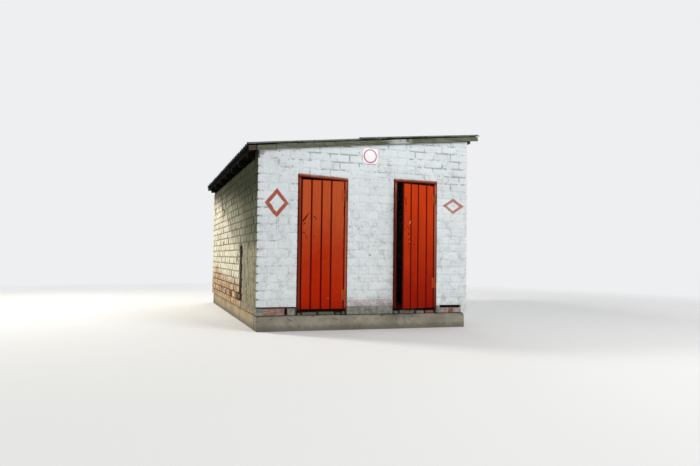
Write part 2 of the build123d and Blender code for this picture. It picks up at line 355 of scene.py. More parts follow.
@dataclass(frozen=True)
class Limewash:
    """Coats of limewash, gone grey in clouds and brushed streaks, with marks painted on them and, if set,
    painted shade.
    """

    # The cool blue-grey cast of fresh, dull and bright is painted sky shade; the limewash itself is white.
    fresh: Colour = (0.735, 0.785, 0.795)
    dull: Colour = (0.52, 0.565, 0.575)
    soiled: Colour = (0.36, 0.35, 0.31)
    bright: Colour = (0.84, 0.87, 0.875)
    tint: Colour = (0.71, 0.715, 0.715)
    speckled: float = 0.40
    # edge_grey greys the wall towards both ends: painted shade.
    edge_grey: float = 0.0
    soiling: float = 0.30
    streaking: float = 0.22
    cracked: float = 0.0
    hole: Colour = (0.11, 0.11, 0.10)
    crack: Colour = (0.22, 0.225, 0.215)
    smudge: Colour = (0.33, 0.335, 0.36)
    pits: tuple[Triple, ...] = ()
    marks: tuple[BrushMark, ...] = ()
    mark_paint: Colour = (0.36, 0.052, 0.014)
    drips: tuple[Triple, ...] = ()
    drip_paint: Colour = (0.20, 0.10, 0.08)
    # Painted shade for the side wall: a cast shadow over its upper front, whose edge rises towards the back,
    # and darker shade just under the eaves.
    painted_shade_from: float | None = None
    painted_shade: Colour = (0.075, 0.083, 0.048)
    dark_painted_shade: Colour = (0.018, 0.021, 0.010)

    def coat(self, g: Graph, tone: Value | float) -> tuple[Socket, Value]:
        """Draws the coats.

        Args:
            g: The graph that they are drawn in.
            tone: Differs from brick to brick.

        Returns:
            The colour and the relief.
        """
        cloud = g.noise(0.9, 3.0)
        patch = g.noise(5.5, 5.0, 0.62)
        grain = g.noise(48.0, 4.0, 0.7)
        strokes = g.noise(1.0, 3.0, 0.6, g.stretched(5, 5, 75, 7.0), 0.6)
        runs = g.noise(1.0, 3.0, 0.65, g.stretched(30, 30, 1.8))
        speckle = g.noise(70.0, 2.0, 0.6)
        # Painted shade: greyer towards both ends of the wall; a little paler near the top.
        sides = abs(g.x - 0.15).step(0.55, 1.30) * self.edge_grey - g.z.step(1.90, 2.20) * 0.12
        greyed = (tone * 0.46 - 0.18 + (cloud - 0.45) * 1.2 + (patch - 0.5) * 1.4 + sides).held()
        streak = strokes.step(0.50, 0.72) + runs.step(0.56, 0.80) * 0.7
        rubbed = patch.step(0.54, 0.74) * cloud.step(0.40, 0.62) + grain.step(0.60, 0.82) * 0.5
        splash = (0.66 - g.z + (patch - 0.5) * 0.5).step(0.0, 0.5) * 0.5
        holes = g.cells(13.0).step(0.060, 0.035) * patch.step(0.46, 0.54)
        for x, z, radius in self.pits:
            across = g.x - x + (grain - 0.5) * 0.02
            upright = g.z - z + (patch - 0.5) * 0.03
            reach = across * across + upright * upright
            holes = holes.most(reach.step(radius * radius, radius * radius * 0.2))
        coats = [(greyed * 0.75, self.dull), (streak * self.streaking, self.dull),
                 (strokes.step(0.42, 0.30) * self.streaking, self.bright),
                 (speckle.step(0.54, 0.70) * self.speckled, self.dull),
                 (speckle.step(0.44, 0.32) * self.speckled, self.bright),
                 (g.noise(2.4, 3.0).step(0.52, 0.70) * 0.6, self.tint),
                 ((rubbed + splash) * self.soiling, self.soiled), (holes * 0.7, self.hole)]
        if self.cracked:
            lines = g.cells(3.1, "DISTANCE_TO_EDGE", g.bent(0.22, 5.0, 1.6)).step(0.016, 0.005)
            broken = (g.z * 0.40 + cloud * 1.5 + (patch - 0.5) * 2.2).step(1.62, 1.80)
            smears = g.noise(13.0, 4.0, 0.75, None, 0.8).step(0.56, 0.70)
            specks = g.cells(26.0).step(0.085, 0.05) * grain.step(0.50, 0.62)
            scuffs = g.noise(1.0, 5.0, 0.8, g.stretched(22, 22, 34), 1.2).step(0.60, 0.70)
            scuffs *= patch.step(0.44, 0.58)
            marred = lines * broken * 0.50 + smears * 0.32 + specks * 0.6 + scuffs * 0.55
            stains = g.noise(8.0, 5.0, 0.75, None, 0.5).step(0.50, 0.64) * g.z.step(1.80, 1.30)
            coats += [(marred * self.cracked, self.crack), (stains * self.cracked * 0.5, self.smudge)]
        # Painted shade: a cast shadow whose lower edge rises towards the back of the wall, and near-black
        # shade just under the eaves.
        if self.painted_shade_from is not None:
            cast_shadow = g.z - g.y * 0.36 - self.painted_shade_from + (cloud - 0.5) * 0.5 + (patch - 0.5) * 0.35
            eaves_shade = g.z - g.y * 0.06 + (patch - 0.5) * 0.25 + (cloud - 0.5) * 0.15
            coats += [(cast_shadow.step(-0.1, 0.25) * 0.58 + cast_shadow.step(0.2, 1.0) * 0.36, self.painted_shade),
                      (eaves_shade.step(1.62, 2.02) * 0.85, self.dark_painted_shade)]
        for x, top, bottom in self.drips:
            thread = abs(g.x - x + (strokes - 0.5) * 0.008).step(0.0040, 0.0015)
            height = g.z.step(bottom - 0.01, bottom + 0.05) * g.z.step(top + 0.01, top)
            coats.append((thread * height * 0.6, self.drip_paint))
        coats += [(mark.share(g), self.mark_paint) for mark in self.marks]
        relief = strokes * 0.14 + grain * 0.26 + patch * 0.5 - holes * 0.5
        return g.coats(self.fresh, *coats), relief


@dataclass(frozen=True)
class Smear:
    """Cement smeared over bricks and joints, where the layer "cement" says so."""

    pale: Colour = (0.25, 0.255, 0.225)
    dark: Colour = (0.13, 0.13, 0.11)
    streaks: float = 0.0

    def over(self, g: Graph, colour: Socket, relief: Value) -> tuple[Socket, Value, Value]:
        """Lays the cement over a colour and its relief.

        Args:
            g: The graph.
            colour: The colour under it.
            relief: The relief under it.

        Returns:
            The colour, the relief and where the cement lies.
        """
        amount = g.layer("cement")
        patch = g.noise(8.0, 5.0, 0.68)
        lump = g.noise(15.0, 4.0, 0.7)
        grain = g.noise(70.0, 4.0, 0.75)
        runs = g.noise(1.0, 3.0, 0.65, g.stretched(16, 16, 1.3))
        covered = (amount * 2.2).held() * (amount + (patch - 0.5) * 1.3 + (lump - 0.5) * 0.5).step(0.28, 0.50)
        # The pale and dark vertical streaks are partly runs in the cement, partly painted streaks of
        # sunlight.
        mortar = g.coats(self.pale, (lump.step(0.42, 0.66), self.dark),
                         (grain.step(0.5, 0.8) * 0.5, self.dark),
                         (runs.step(0.50, 0.64) * self.streaks, self.pale),
                         (runs.step(0.46, 0.34) * self.streaks, self.dark))
        return g.coats(colour, (covered, mortar)), relief + covered * (lump * 0.6 + grain * 0.2), covered


@dataclass(frozen=True)
class BrickFinish:
    """Limewashed brick. The layer "raw" bares the clay, "ends" darkens it with dirt and painted shade, "tone"
    differs by brick.
    """

    name: str
    wash: Limewash
    clay: Colour = (0.30, 0.095, 0.06)
    pale_clay: Colour = (0.46, 0.29, 0.23)
    dust: Colour = (0.26, 0.22, 0.18)
    smear: Smear = Smear()
    # Colour of stains, also used for the painted shade at rims and joint ends.
    stain_and_shade: Colour = (0.055, 0.045, 0.03)
    stained_and_shaded: float = 0.0
    flecked: float = 0.6
    mottled: float = 0.25
    pitted: float = 0.0
    sheen: float = 0.2
    # Span of the niche: inside it, faces set back from the side wall's face get painted shade.
    niche_shade_span: Span | None = None
    dark_painted_shade: Colour = (0.050, 0.038, 0.017)

    def make(self) -> Material:
        """Builds the material.

        Returns:
            The material.
        """
        g = Graph(self.name)
        tone, raw, rim = g.layer("tone"), g.layer("raw"), g.layer("rim")
        paint, relief = self.wash.coat(g, tone)
        patch = g.noise(8.0, 5.0, 0.68)
        grain = g.noise(70.0, 4.0, 0.75)
        flecks = g.noise(30.0, 4.0, 0.75, None, 0.7)
        pits = g.noise(17.0, 4.0, 0.75, None, 1.0).step(0.55, 0.61) * self.pitted
        clay = g.coats(self.clay, (tone.step(0.1, 0.9) * 0.5 + patch.step(0.50, 0.68) * 0.7, self.pale_clay),
                       (grain.step(0.38, 0.72) * 0.75 + rim * 0.1, self.dust),
                       (flecks.step(0.56, 0.64) * self.flecked, self.wash.dull),
                       (flecks.step(0.42, 0.34) * 0.6, self.stain_and_shade),
                       (g.noise(4.0, 5.0, 0.75, None, 0.6).step(0.52, 0.66) * self.mottled, self.stain_and_shade),
                       (pits, self.stain_and_shade))
        edge = raw + (patch - 0.5) * 1.1 + (grain - 0.5) * 0.8 + rim * 0.04
        bare = (raw * 3.0).held() * edge.step(0.30, 0.72) * (raw * 0.8 + 0.2)
        chips = (rim * 0.24 + patch * 0.60 + grain * 0.45).step(0.95, 1.02) * 0.7
        relief = relief - bare * 0.4 + bare * grain * 0.5 - bare * pits * 0.8
        colour, relief, covered = self.smear.over(g, g.coats(paint, (bare.most(chips), clay)), relief)
        # Darkening at the bricks' rims and beside the upright joints: partly dirt, partly painted shade of
        # the joints.
        if self.stained_and_shaded:
            edges = rim * 0.45 + g.layer("ends") * 0.65 + (grain - 0.5) * 0.7 + (patch - 0.5) * 0.9
            colour = g.coats(colour, (edges.step(0.50, 0.95) * (1 - covered) * self.stained_and_shaded, self.stain_and_shade))
        # Painted shade inside the niche: faces more than a few millimetres behind the side wall's face turn
        # near black.
        if self.niche_shade_span:
            start, end = self.niche_shade_span
            inside = g.y.step(start - 0.01, start + 0.01) * g.y.step(end + 0.01, end - 0.01)
            deep = (g.x - Plan.left).step(0.007, 0.022)
            colour = g.coats(colour, (deep * inside * 0.94, self.dark_painted_shade))
        return g.finish(colour, 0.92, relief, 0.0042, Specular_IOR_Level=self.sheen)


@dataclass(frozen=True)
class JointFinish:
    """Mortar joints, filled with limewash or bare. The layer "hollow" paints shade on them where they are
    deep.
    """

    name: str
    wash: Limewash
    smear: Smear = Smear()
    opened: Colour = (0.30, 0.31, 0.30)
    bare: Colour = (0.26, 0.20, 0.135)
    hollow: Colour = (0.035, 0.012, 0.009)
    openness: float = 0.55
    threshold: float = 0.60
    blur: float = 0.07

    def make(self) -> Material:
        """Builds the material.

        Returns:
            The material.
        """
        g = Graph(self.name)
        raw = g.layer("raw")
        paint, relief = self.wash.coat(g, 0.5)
        patch = g.noise(11.0, 4.0, 0.65)
        cloud = g.noise(1.7, 3.0)
        grain = g.noise(110.0, 3.0, 0.7)
        gaps = patch * 0.55 + cloud * 0.45 + g.z * 0.045 + grain * 0.1 - 0.10
        gaps = gaps.step(self.threshold - self.blur, self.threshold + self.blur)
        # Where the wash paints shade under the eaves, open joints fade out so that they don't break it.
        if self.wash.painted_shade_from is not None:
            gaps *= (g.z - g.y * 0.06).step(1.90, 1.30)
        worn = (raw * 1.6 - 0.55 + (patch - 0.5) * 1.2).step(0.2, 0.6)
        bed = g.coats(self.bare, (grain.step(0.4, 0.75), self.opened))
        colour = g.coats(paint, (gaps * self.openness, self.opened), (worn, bed))
        colour, relief, _ = self.smear.over(g, colour, relief)
        # Painted shade in the recesses, by the layer "hollow".
        hollow = g.layer("hollow") * 1.2 + (patch - 0.5) * 0.3
        return g.finish(g.coats(colour, (hollow, self.hollow)), 0.95, relief + grain * 0.3, 0.003,
                        Specular_IOR_Level=0.04)


@dataclass(frozen=True)
class ConcreteFinish:
    """Rough cast concrete with pebbles, soil and damp near the ground."""

    name: str
    pale: Colour = (0.36, 0.315, 0.235)
    dark: Colour = (0.20, 0.17, 0.125)
    pebble: Colour = (0.34, 0.33, 0.30)
    damp: Colour = (0.105, 0.095, 0.07)
    crack: Colour = (0.05, 0.043, 0.032)
    damp_top: float = 0.10
    rubble: float = 0.0

    def make(self) -> Material:
        """Builds the material.

        Returns:
            The material.
        """
        g = Graph(self.name)
        cloud = g.noise(2.3, 4.0)
        patch = g.noise(14.0, 4.0, 0.65)
        grain = g.noise(140.0, 3.0, 0.7)
        shown = g.cells(42.0).step(0.38, 0.26) * patch.step(0.42, 0.6)
        wet = (self.damp_top - g.z + (patch - 0.5) * 0.12).step(0.0, 0.07)
        colour = g.coats(self.pale, (cloud.step(0.35, 0.65), self.dark),
                         (patch.step(0.5, 0.7) * 0.6, self.dark), (shown * 0.7, self.pebble),
                         (wet * 0.65, self.damp), (grain.step(0.55, 0.85) * 0.5, self.damp))
        relief = cloud * 0.25 + patch * 0.45 + grain * 0.2 + shown * 0.3
        if self.rubble:
            cracks = g.cells(5.0, "DISTANCE_TO_EDGE", g.bent(0.30, 6.0, 1.9)).step(0.050, 0.012)
            cracks *= (g.z + (cloud - 0.5) * 0.25).step(0.09, 0.15) * patch.step(0.46, 0.60) * self.rubble
            colour = g.coats(colour, (cracks * 0.8, self.crack))
            relief -= cracks * 0.7
        return g.finish(colour, 0.93 - wet * 0.2, relief, 0.006, Specular_IOR_Level=0.25)


@dataclass(frozen=True)
class TimberFinish:
    """Bare timber gone grey, with grain along one direction, checks and green growth."""

    name: str
    along: Triple
    grey: Colour = (0.17, 0.17, 0.125)
    dark: Colour = (0.055, 0.052, 0.035)
    brown: Colour = (0.14, 0.085, 0.045)
    green: Colour = (0.075, 0.095, 0.03)
    growth: float = 0.5
    sheen: float = 0.2
    splashed: Span | None = None
    splash: Colour = (0.46, 0.47, 0.45)
    brown_end: float | None = None
    end_pale: Colour = (0.075, 0.055, 0.036)
    end_dark: Colour = (0.03, 0.025, 0.018)
    gap: Colour = (0.008, 0.007, 0.006)

    def make(self) -> Material:
        """Builds the material.

        Returns:
            The material.
        """
        g = Graph(self.name)
        lengthwise = g.stretched(*self.along)
        fibre = g.noise(1.0, 4.0, 0.65, lengthwise, 0.3)
        fine = g.noise(4.0, 3.0, 0.7, lengthwise)
        cloud = g.noise(2.6, 3.0)
        patch = g.noise(17.0, 4.0, 0.6)
        coats = [(fibre.step(0.38, 0.66), self.dark),
                 (cloud.step(0.45, 0.7) * 0.55 + g.layer("tone") * 0.25, self.brown),
                 (fine.step(0.56, 0.7) * 0.5, self.dark),
                 (cloud.step(0.40, 0.62) * patch.step(0.42, 0.62) * self.growth, self.green)]
        if self.splashed:
            start, end = self.splashed
            reach = g.x.step(start - 0.08, start + 0.05) * g.x.step(end + 0.08, end - 0.05)
            coats.append((reach * patch.step(0.34, 0.50) * 0.85, self.splash))
        if self.brown_end is not None:
            end = g.x + (patch - 0.5) * 0.01 - self.brown_end
            coats += [(end.step(0.004, -0.004) * 0.85,
                       g.coats(self.end_pale, (fibre.step(0.4, 0.6), self.end_dark))),
                      (abs(end).step(0.012, 0.005) * 0.9, self.gap)]
        checks = fibre.step(0.60, 0.70) * fine.step(0.4, 0.6)
        relief = fibre * 0.4 + fine * 0.25 - checks * 0.6 + patch * 0.1
        return g.finish(g.coats(self.grey, *coats), 0.88, relief, 0.0025, Specular_IOR_Level=self.sheen)


@dataclass(frozen=True)
class PaintedWood:
    """Oil paint on boards. The layer "groove" is 1 in the joints, where it paints shade; "tone" differs from
    board to board.
    """

    name: str
    top_colour: Colour
    deep: Colour
    primer: Colour
    low: float
    high: float
    groove: Colour = (0.125, 0.006, 0.0025)
    gloss: float = 0.48
    wear: float = 0.4
    spread: float = 0.45
    edge_shade: float = 0.0
    edge_chips: float = 0.32
    tint: Colour = (1.0, 0.4, 0.2)

    def make(self) -> Material:
        """Builds the material.

        Returns:
            The material.
        """
        g = Graph(self.name)
        rim = g.layer("rim")
        fibre = g.noise(1.0, 4.0, 0.6, g.stretched(85, 85, 2.6), 0.35)
        fine = g.noise(1.0, 3.0, 0.7, g.stretched(260, 260, 9.0))
        patch = g.noise(12.0, 4.0, 0.62)
        height = (g.z - self.low) / (self.high - self.low)
        # The paint is lighter towards the top and darker towards the bottom.
        towards_top = height + (g.noise(2.2, 3.0) - 0.5) * 0.6 + (g.layer("tone") - 0.5) * self.spread
        dirt = (0.10 - height + (patch - 0.5) * 0.12).step(0.0, 0.14) * 0.4
        start = 1.02 - self.wear * 0.24
        chips = patch * 0.75 + g.noise(150.0, 2.0) * 0.2 + rim * self.edge_chips + fine * 0.12
        chips = chips.step(start, start + 0.04)
        # Painted shade: dark in the grooves and, by edge_shade, along the rims.
        shade = (g.layer("groove") + rim * self.edge_shade + (patch - 0.5) * 0.15).step(0.04, 0.42)
        colour = g.coats(self.deep, (towards_top.step(0.05, 1.0), self.top_colour),
                         (fibre.step(0.50, 0.74) * 0.30, self.groove),
                         (patch.step(0.55, 0.8) * 0.25, self.top_colour), (dirt, self.groove),
                         (chips * 0.8, self.primer), (shade * 0.96, self.groove))
        relief = fibre * 0.35 + fine * 0.2 + patch * 0.25 - chips * 0.35
        rough = self.gloss + patch * 0.18 + chips * 0.3 + shade * 0.3
        return g.finish(colour, rough.least(0.95), relief, 0.0014, Specular_IOR_Level=0.09,
                        Specular_Tint=self.tint)


@dataclass(frozen=True)
class RoofFinish:
    """Weathered fibre cement: dark grey, washed paler on the crests, with lichen and moss in the valleys."""

    name: str
    crest: Colour = (0.20, 0.205, 0.20)
    hollow: Colour = (0.075, 0.08, 0.08)
    lichen: Colour = (0.36, 0.37, 0.30)
    moss: Colour = (0.065, 0.085, 0.022)
    edge: Colour = (0.045, 0.05, 0.06)
    edge_pale: Colour = (0.26, 0.28, 0.32)
    # Painted shade for the sheets' undersides.
    underside_shade: Colour = (0.010, 0.010, 0.009)

    def make(self) -> Material:
        """Builds the material.

        Returns:
            The material.
        """
        g = Graph(self.name)
        low, rim = g.layer("low"), g.layer("rim")
        cloud = g.noise(1.1, 3.0)
        patch = g.noise(7.0, 4.0, 0.6)
        grain = g.noise(140.0, 3.0, 0.7)
        fall = g.noise(1.0, 3.0, 0.6, g.stretched(2.0, 42, 2.0))
        spots = g.cells(24.0).step(0.30, 0.20) * patch.step(0.5, 0.62)
        rings = g.cells(60.0).step(0.28, 0.20) * cloud.step(0.42, 0.6)
        green = (low * 0.8 + patch * 0.9 + (cloud - 0.5) * 0.8).step(1.02, 1.25)
        edge = g.coats(self.edge, (patch.step(0.52, 0.66) * 0.8, self.edge_pale))
        washed = low * 0.7 + (cloud - 0.5) * 0.8 + (fall - 0.5) * 0.7
        # The layer "under" paints shade on the undersides, less at the edges.
        colour = g.coats(self.crest, (washed, self.hollow), (spots * 0.65 + rings * 0.45, self.lichen),
                         (green * 0.85, self.moss), (rim * 0.85, edge),
                         (g.layer("under") * (1 - rim * 0.6), self.underside_shade),
                         (grain.step(0.45, 0.8) * 0.35, self.hollow))
        relief = grain * 0.3 + patch * 0.3 + green * 0.5 + spots * 0.2
        return g.finish(colour, 0.9, relief, 0.003, Specular_IOR_Level=0.06)


@dataclass(frozen=True)
class GrowthFinish:
    """Moss cushions."""

    name: str = "moss"
    bright: Colour = (0.115, 0.15, 0.03)
    deep: Colour = (0.035, 0.045, 0.015)

    def make(self) -> Material:
        """Builds the material.

        Returns:
            The material.
        """
        g = Graph(self.name)
        tufts = g.cells(210.0)
        patch = g.noise(26.0, 3.0)
        shaded = tufts.step(0.2, 0.6) * 0.7 + patch.step(0.5, 0.7) * 0.4
        return g.finish(g.coats(self.bright, (shaded, self.deep)), 0.97, (1.0 - tufts) * 0.7 + patch * 0.3,
                        0.006, Specular_IOR_Level=0.1)


@dataclass(frozen=True)
class SteelFinish:
    """Plain steel with rust, for nails, screws and washers."""

    name: str
    clean: Colour = (0.20, 0.19, 0.18)
    rust: Colour = (0.15, 0.052, 0.02)
    specks: Colour = (0.07, 0.03, 0.015)
    rusted: float = 0.6

    def make(self) -> Material:
        """Builds the material.

        Returns:
            The material.
        """
        g = Graph(self.name)
        patch = g.noise(60.0, 4.0, 0.65)
        grain = g.noise(420.0, 2.0)
        rust = (patch + self.rusted - 0.5).step(0.38, 0.62)
        colour = g.coats(self.clean, (rust, self.rust), (grain.step(0.5, 0.8) * 0.4, self.specks))
        return g.finish(colour, 0.45 + rust * 0.45, patch * 0.5 + grain * 0.5, 0.0006, Specular_IOR_Level=0.5)


@dataclass(frozen=True)
class BlotFinish:
    """Matt dirt or bare wood in a scratch."""

    name: str
    main: Colour
    other: Colour

    def make(self) -> Material:
        """Builds the material.

        Returns:
            The material.
        """
        g = Graph(self.name)
        patch = g.noise(80.0, 4.0, 0.65)
        grain = g.noise(420.0, 2.0)
        colour = g.coats(self.main, (patch.step(0.45, 0.65) + grain * 0.2, self.other))
        return g.finish(colour, 0.9 - patch * 0.1, patch + grain * 0.5, 0.0008, Specular_IOR_Level=0.04)


@dataclass(frozen=True)
class EnamelFinish:
    """White enamel with a plain painted ring, yellowed a little and chipped at the rim."""

    name: str
    x: float
    z: float
    ring: float
    stroke: float
    half: float
    white: Colour = (0.90, 0.90, 0.91)
    yellowed: Colour = (0.62, 0.62, 0.58)
    red: Colour = (0.58, 0.045, 0.13)
    steel: Colour = (0.16, 0.07, 0.04)
    blur: float = 0.0008

    def make(self) -> Material:
        """Builds the material.

        Returns:
            The material.
        """
        g = Graph(self.name)
        patch = g.noise(16.0, 4.0, 0.6)
        grain = g.noise(190.0, 3.0)
        dx = g.x - self.x
        dz = g.z - self.z
        half = self.stroke / 2
        ring = abs((dx * dx + dz * dz) ** 0.5 - self.ring).step(half + self.blur, half - self.blur)
        border = abs(dx).most(abs(dz)).step(self.half - 0.006, self.half)
        chips = (border * 0.5 + patch * 0.7 + grain * 0.15).step(0.86, 0.92)
        colour = g.coats(self.white, (patch.step(0.5, 0.85) * 0.2, self.yellowed),
                         (ring * (0.92 - patch.step(0.55, 0.8) * 0.25), self.red), (chips, self.steel))
        return g.finish(colour, 0.28 + patch * 0.15 + chips * 0.4, patch * 0.4 - chips * 0.5, 0.0006)


@dataclass(frozen=True)
class ClayFinish:
    """Brick, stone and cement of the thresholds. The layer "tone" picks one; 1 is the bed, painted near black
    as shade.
    """

    name: str
    clay: Colour = (0.27, 0.10, 0.07)
    # brown and stone are kept dark, partly dirt and partly painted shade under the doors.
    brown: Colour = (0.115, 0.085, 0.055)
    stone: Colour = (0.125, 0.122, 0.092)
    cement: Colour = (0.25, 0.245, 0.215)
    soil: Colour = (0.10, 0.085, 0.062)
    dust: Colour = (0.085, 0.065, 0.05)
    bed: Colour = (0.022, 0.016, 0.012)

    def make(self) -> Material:
        """Builds the material.

        Returns:
            The material.
        """
        g = Graph(self.name)
        tone = g.layer("tone")
        patch = g.noise(22.0, 4.0, 0.65)
        grain = g.noise(160.0, 3.0, 0.7)
        colour = g.coats(self.clay, (tone.step(0.19, 0.21), self.brown), (tone.step(0.39, 0.41), self.stone),
                         (tone.step(0.64, 0.66), self.cement), (patch.step(0.48, 0.64) * 0.55, self.soil),
                         (grain.step(0.45, 0.75) * 0.45, self.dust), (tone.step(0.89, 0.91), self.bed))
        return g.finish(colour, 0.94, patch * 0.5 + grain * 0.4, 0.005, Specular_IOR_Level=0.2)


# Shapes


def middle_of(verts: Sequence[Vert]) -> Vector:
    """Middle of the box around some vertices."""
    sides = [[vert.co[n] for vert in verts] for n in range(3)]
    return Vector((min(side) + max(side)) / 2 for side in sides)


def rough(point: Vector, scale: float = 1.0) -> float:
    """Noise between 0 and 1 at a point, with that many waves in a metre."""
    return noise.noise(point * scale) * 0.5 + 0.5


def smooth(value: float, low: float, high: float) -> float:
    """Smooth step from 0 at low to 1 at high."""
    share = min(1.0, max(0.0, (value - low) / (high - low)))
    return share * share * (3 - 2 * share)


class Shape:
    """A mesh being shaped, with the steps that the pieces share."""

    def __init__(self) -> None:
        """Starts an empty mesh."""
        self.bm = bmesh.new()

    @classmethod
    def of_node(cls, node: str, flat: float = 1.0) -> "Shape":
        """Copy of a CAD node with its loose triangles joined into plain faces.

        Args:
            node: The node's name.
            flat: Triangles that turn by less than this many degrees are joined.

        Returns:
            The shape.
        """
        made = cls()
        made.bm.from_mesh(frame["nodes"][node].data)
        bmesh.ops.remove_doubles(made.bm, verts=made.bm.verts[:], dist=1e-5)
        bmesh.ops.dissolve_limit(made.bm, angle_limit=math.radians(flat), verts=made.bm.verts[:],
                                 edges=made.bm.edges[:])
        return made

    def block(self, low: Sequence[float], high: Sequence[float]) -> list[Vert]:
        """Adds a box.

        Args:
            low: Its lowest corner.
            high: Its highest corner.

        Returns:
            Its vertices.
        """
        low, high = Vector(low), Vector(high)
        size = Matrix.Diagonal((*(high - low), 1.0))
        made = bmesh.ops.create_cube(self.bm, size=1.0, matrix=Matrix.Translation((low + high) / 2) @ size)
        return made["verts"]

    def dome(self, place: Vector, normal: Vector, radius: float, height: float, sides: int = 10) -> None:
        """Adds a low round head on a surface.

        Args:
            place: Its middle on the surface.
            normal: The surface's normal.
            radius: Its radius at the foot.
            height: How far it stands out.
            sides: How many sides it has.
        """
        turned = UP.rotation_difference(normal).to_matrix().to_4x4()
        flat = Matrix.Diagonal((radius, radius, height, 1.0))
        bmesh.ops.create_uvsphere(self.bm, u_segments=sides, v_segments=6, radius=1.0,
                                  matrix=Matrix.Translation(place) @ turned @ flat)

    def pin(self, place: Vector, radius: float, length: float, round_over: float) -> None:
        """Adds an upright pin.

        Args:
            place: Its middle.
            radius: Its radius.
            length: Its length.
            round_over: Width of the bevel on its two rims.
        """
        made = bmesh.ops.create_cone(self.bm, cap_ends=True, segments=12, radius1=radius, radius2=radius,
                                     depth=length, matrix=Matrix.Translation(place))
        rims = {edge for vert in made["verts"] for edge in vert.link_edges
                if any(len(face.verts) > 4 for face in edge.link_faces)}
        self.bevel(round_over, edges=list(rims))

    def bevel(self, width: float, segments: int = 2, angle: float = 35.0,
              edges: list[bmesh.types.BMEdge] | None = None) -> None:
        """Rounds edges.

        Args:
            width: How wide the rounding is.
            segments: How many faces it has across.
            angle: Edges that turn by more than this many degrees are rounded.
            edges: The edges, where they aren't chosen by their angle.
        """
        if edges is None:
            edges = self.sharp_edges(angle)
        bmesh.ops.bevel(self.bm, geom=edges, offset=width, offset_type="OFFSET", segments=segments,
                        profile=0.5, affect="EDGES", material=-1, clamp_overlap=True)

    def sharp_edges(self, angle: float) -> list[bmesh.types.BMEdge]:
        """Edges that turn by more than that many degrees."""
        limit = math.radians(angle)
        return [edge for edge in self.bm.edges if edge.calc_face_angle(0.0) > limit]

    def slice(self, direction: Vector, step: float, places: Iterable[float] = ()) -> None:
        """Cuts the faces at regular steps along a direction, so that they can be bent.

        Args:
            direction: The direction, of unit length.
            step: The distance between cuts; 0 for none.
            places: Further places to cut at.
        """
        runs = [vert.co.dot(direction) for vert in self.bm.verts]
        low, high = min(runs), max(runs)
        cuts = set(places)
        if step:
            count = max(1, round((high - low) / step))
            cuts |= {low + (high - low) * number / count for number in range(1, count)}
        for cut in sorted(cuts):
            geometry = self.bm.verts[:] + self.bm.edges[:] + self.bm.faces[:]
            bmesh.ops.bisect_plane(self.bm, geom=geometry, plane_co=direction * cut, plane_no=direction,
                                   dist=1e-6)

    def slice_all(self, step: float) -> None:
        """Cuts the faces along all three axes."""
        for direction in (ACROSS, INTO, UP):
            self.slice(direction, step)

    def recede(self, depth: Callable[[Vector, Vector], float]) -> None:
        """Moves each flat face inwards, by a depth that may differ from place to place.

        Args:
            depth: Gives the depth for a point and the normal of its face.
        """
        moves = []
        for vert in self.bm.verts:
            normals: list[Vector] = []
            for face in vert.link_faces:
                if all(face.normal.dot(known) < 0.9 for known in normals):
                    normals.append(face.normal.copy())
            moves.append(sum((-normal * depth(vert.co, normal) for normal in normals), Vector()))
        for vert, move in zip(self.bm.verts, moves):
            vert.co += move

    def waver(self, size: float, scale: float, seed: float) -> None:
        """Moves each vertex a little, by smooth noise.

        Args:
            size: The largest move.
            scale: How many waves there are in a metre.
            seed: Picks another noise.
        """
        shift = Vector((seed * 7.3, seed * 3.1, seed * 5.7))
        for vert in self.bm.verts:
            vert.co += noise.noise_vector(vert.co * scale + shift) * size

    def islands(self) -> list[list[Vert]]:
        """Groups of vertices that hang together, in the order of their lowest corners.

        Returns:
            One list for each group.
        """
        seen: set[Vert] = set()
        groups = []
        for start in self.bm.verts:
            if start in seen:
                continue
            seen.add(start)
            group = [start]
            for vert in group:
                for edge in vert.link_edges:
                    other = edge.other_vert(vert)
                    if other not in seen:
                        seen.add(other)
                        group.append(other)
            groups.append(group)
        return sorted(groups, key=lambda group: min(tuple(round(c, 4) for c in vert.co) for vert in group))

    def layer(self, name: str, value: Callable[[Vert], float]) -> None:
        """Stores a number on each vertex, for the finishes to read.

        Args:
            name: The layer's name.
            value: Gives the number for a vertex.
        """
        numbers = [value(vert) for vert in self.bm.verts]
        made = self.bm.verts.layers.float.get(name) or self.bm.verts.layers.float.new(name)
        for vert, number in zip(self.bm.verts, numbers):
            vert[made] = number

    def plain(self, **layers: float) -> None:
        """Stores one number on all the vertices, for each layer."""
        for name, number in layers.items():
            self.layer(name, lambda vert: number)

    def mark(self, name: str, verts: Iterable[Vert]) -> None:
        """Stores 1 on those vertices and 0 on the others."""
        chosen = set(verts)
        self.layer(name, lambda vert: float(vert in chosen))

    def tone_islands(self, seed: int) -> None:
        """Gives each separate solid its own number in the layer "tone".

        Args:
            seed: Starts the random numbers.
        """
        chance = random.Random(seed)
        tones = {}
        for group in self.islands():
            tones |= dict.fromkeys(group, chance.random())
        self.layer("tone", tones.get)

    def rim_faces(self, faces: list[bmesh.types.BMFace], width: float) -> None:
        """Insets faces by that width and marks all but their middles in the layer "rim"."""
        bmesh.ops.inset_individual(self.bm, faces=faces, thickness=width, use_even_offset=True)
        self.mark("rim", set(self.bm.verts) - {vert for face in faces for vert in face.verts})

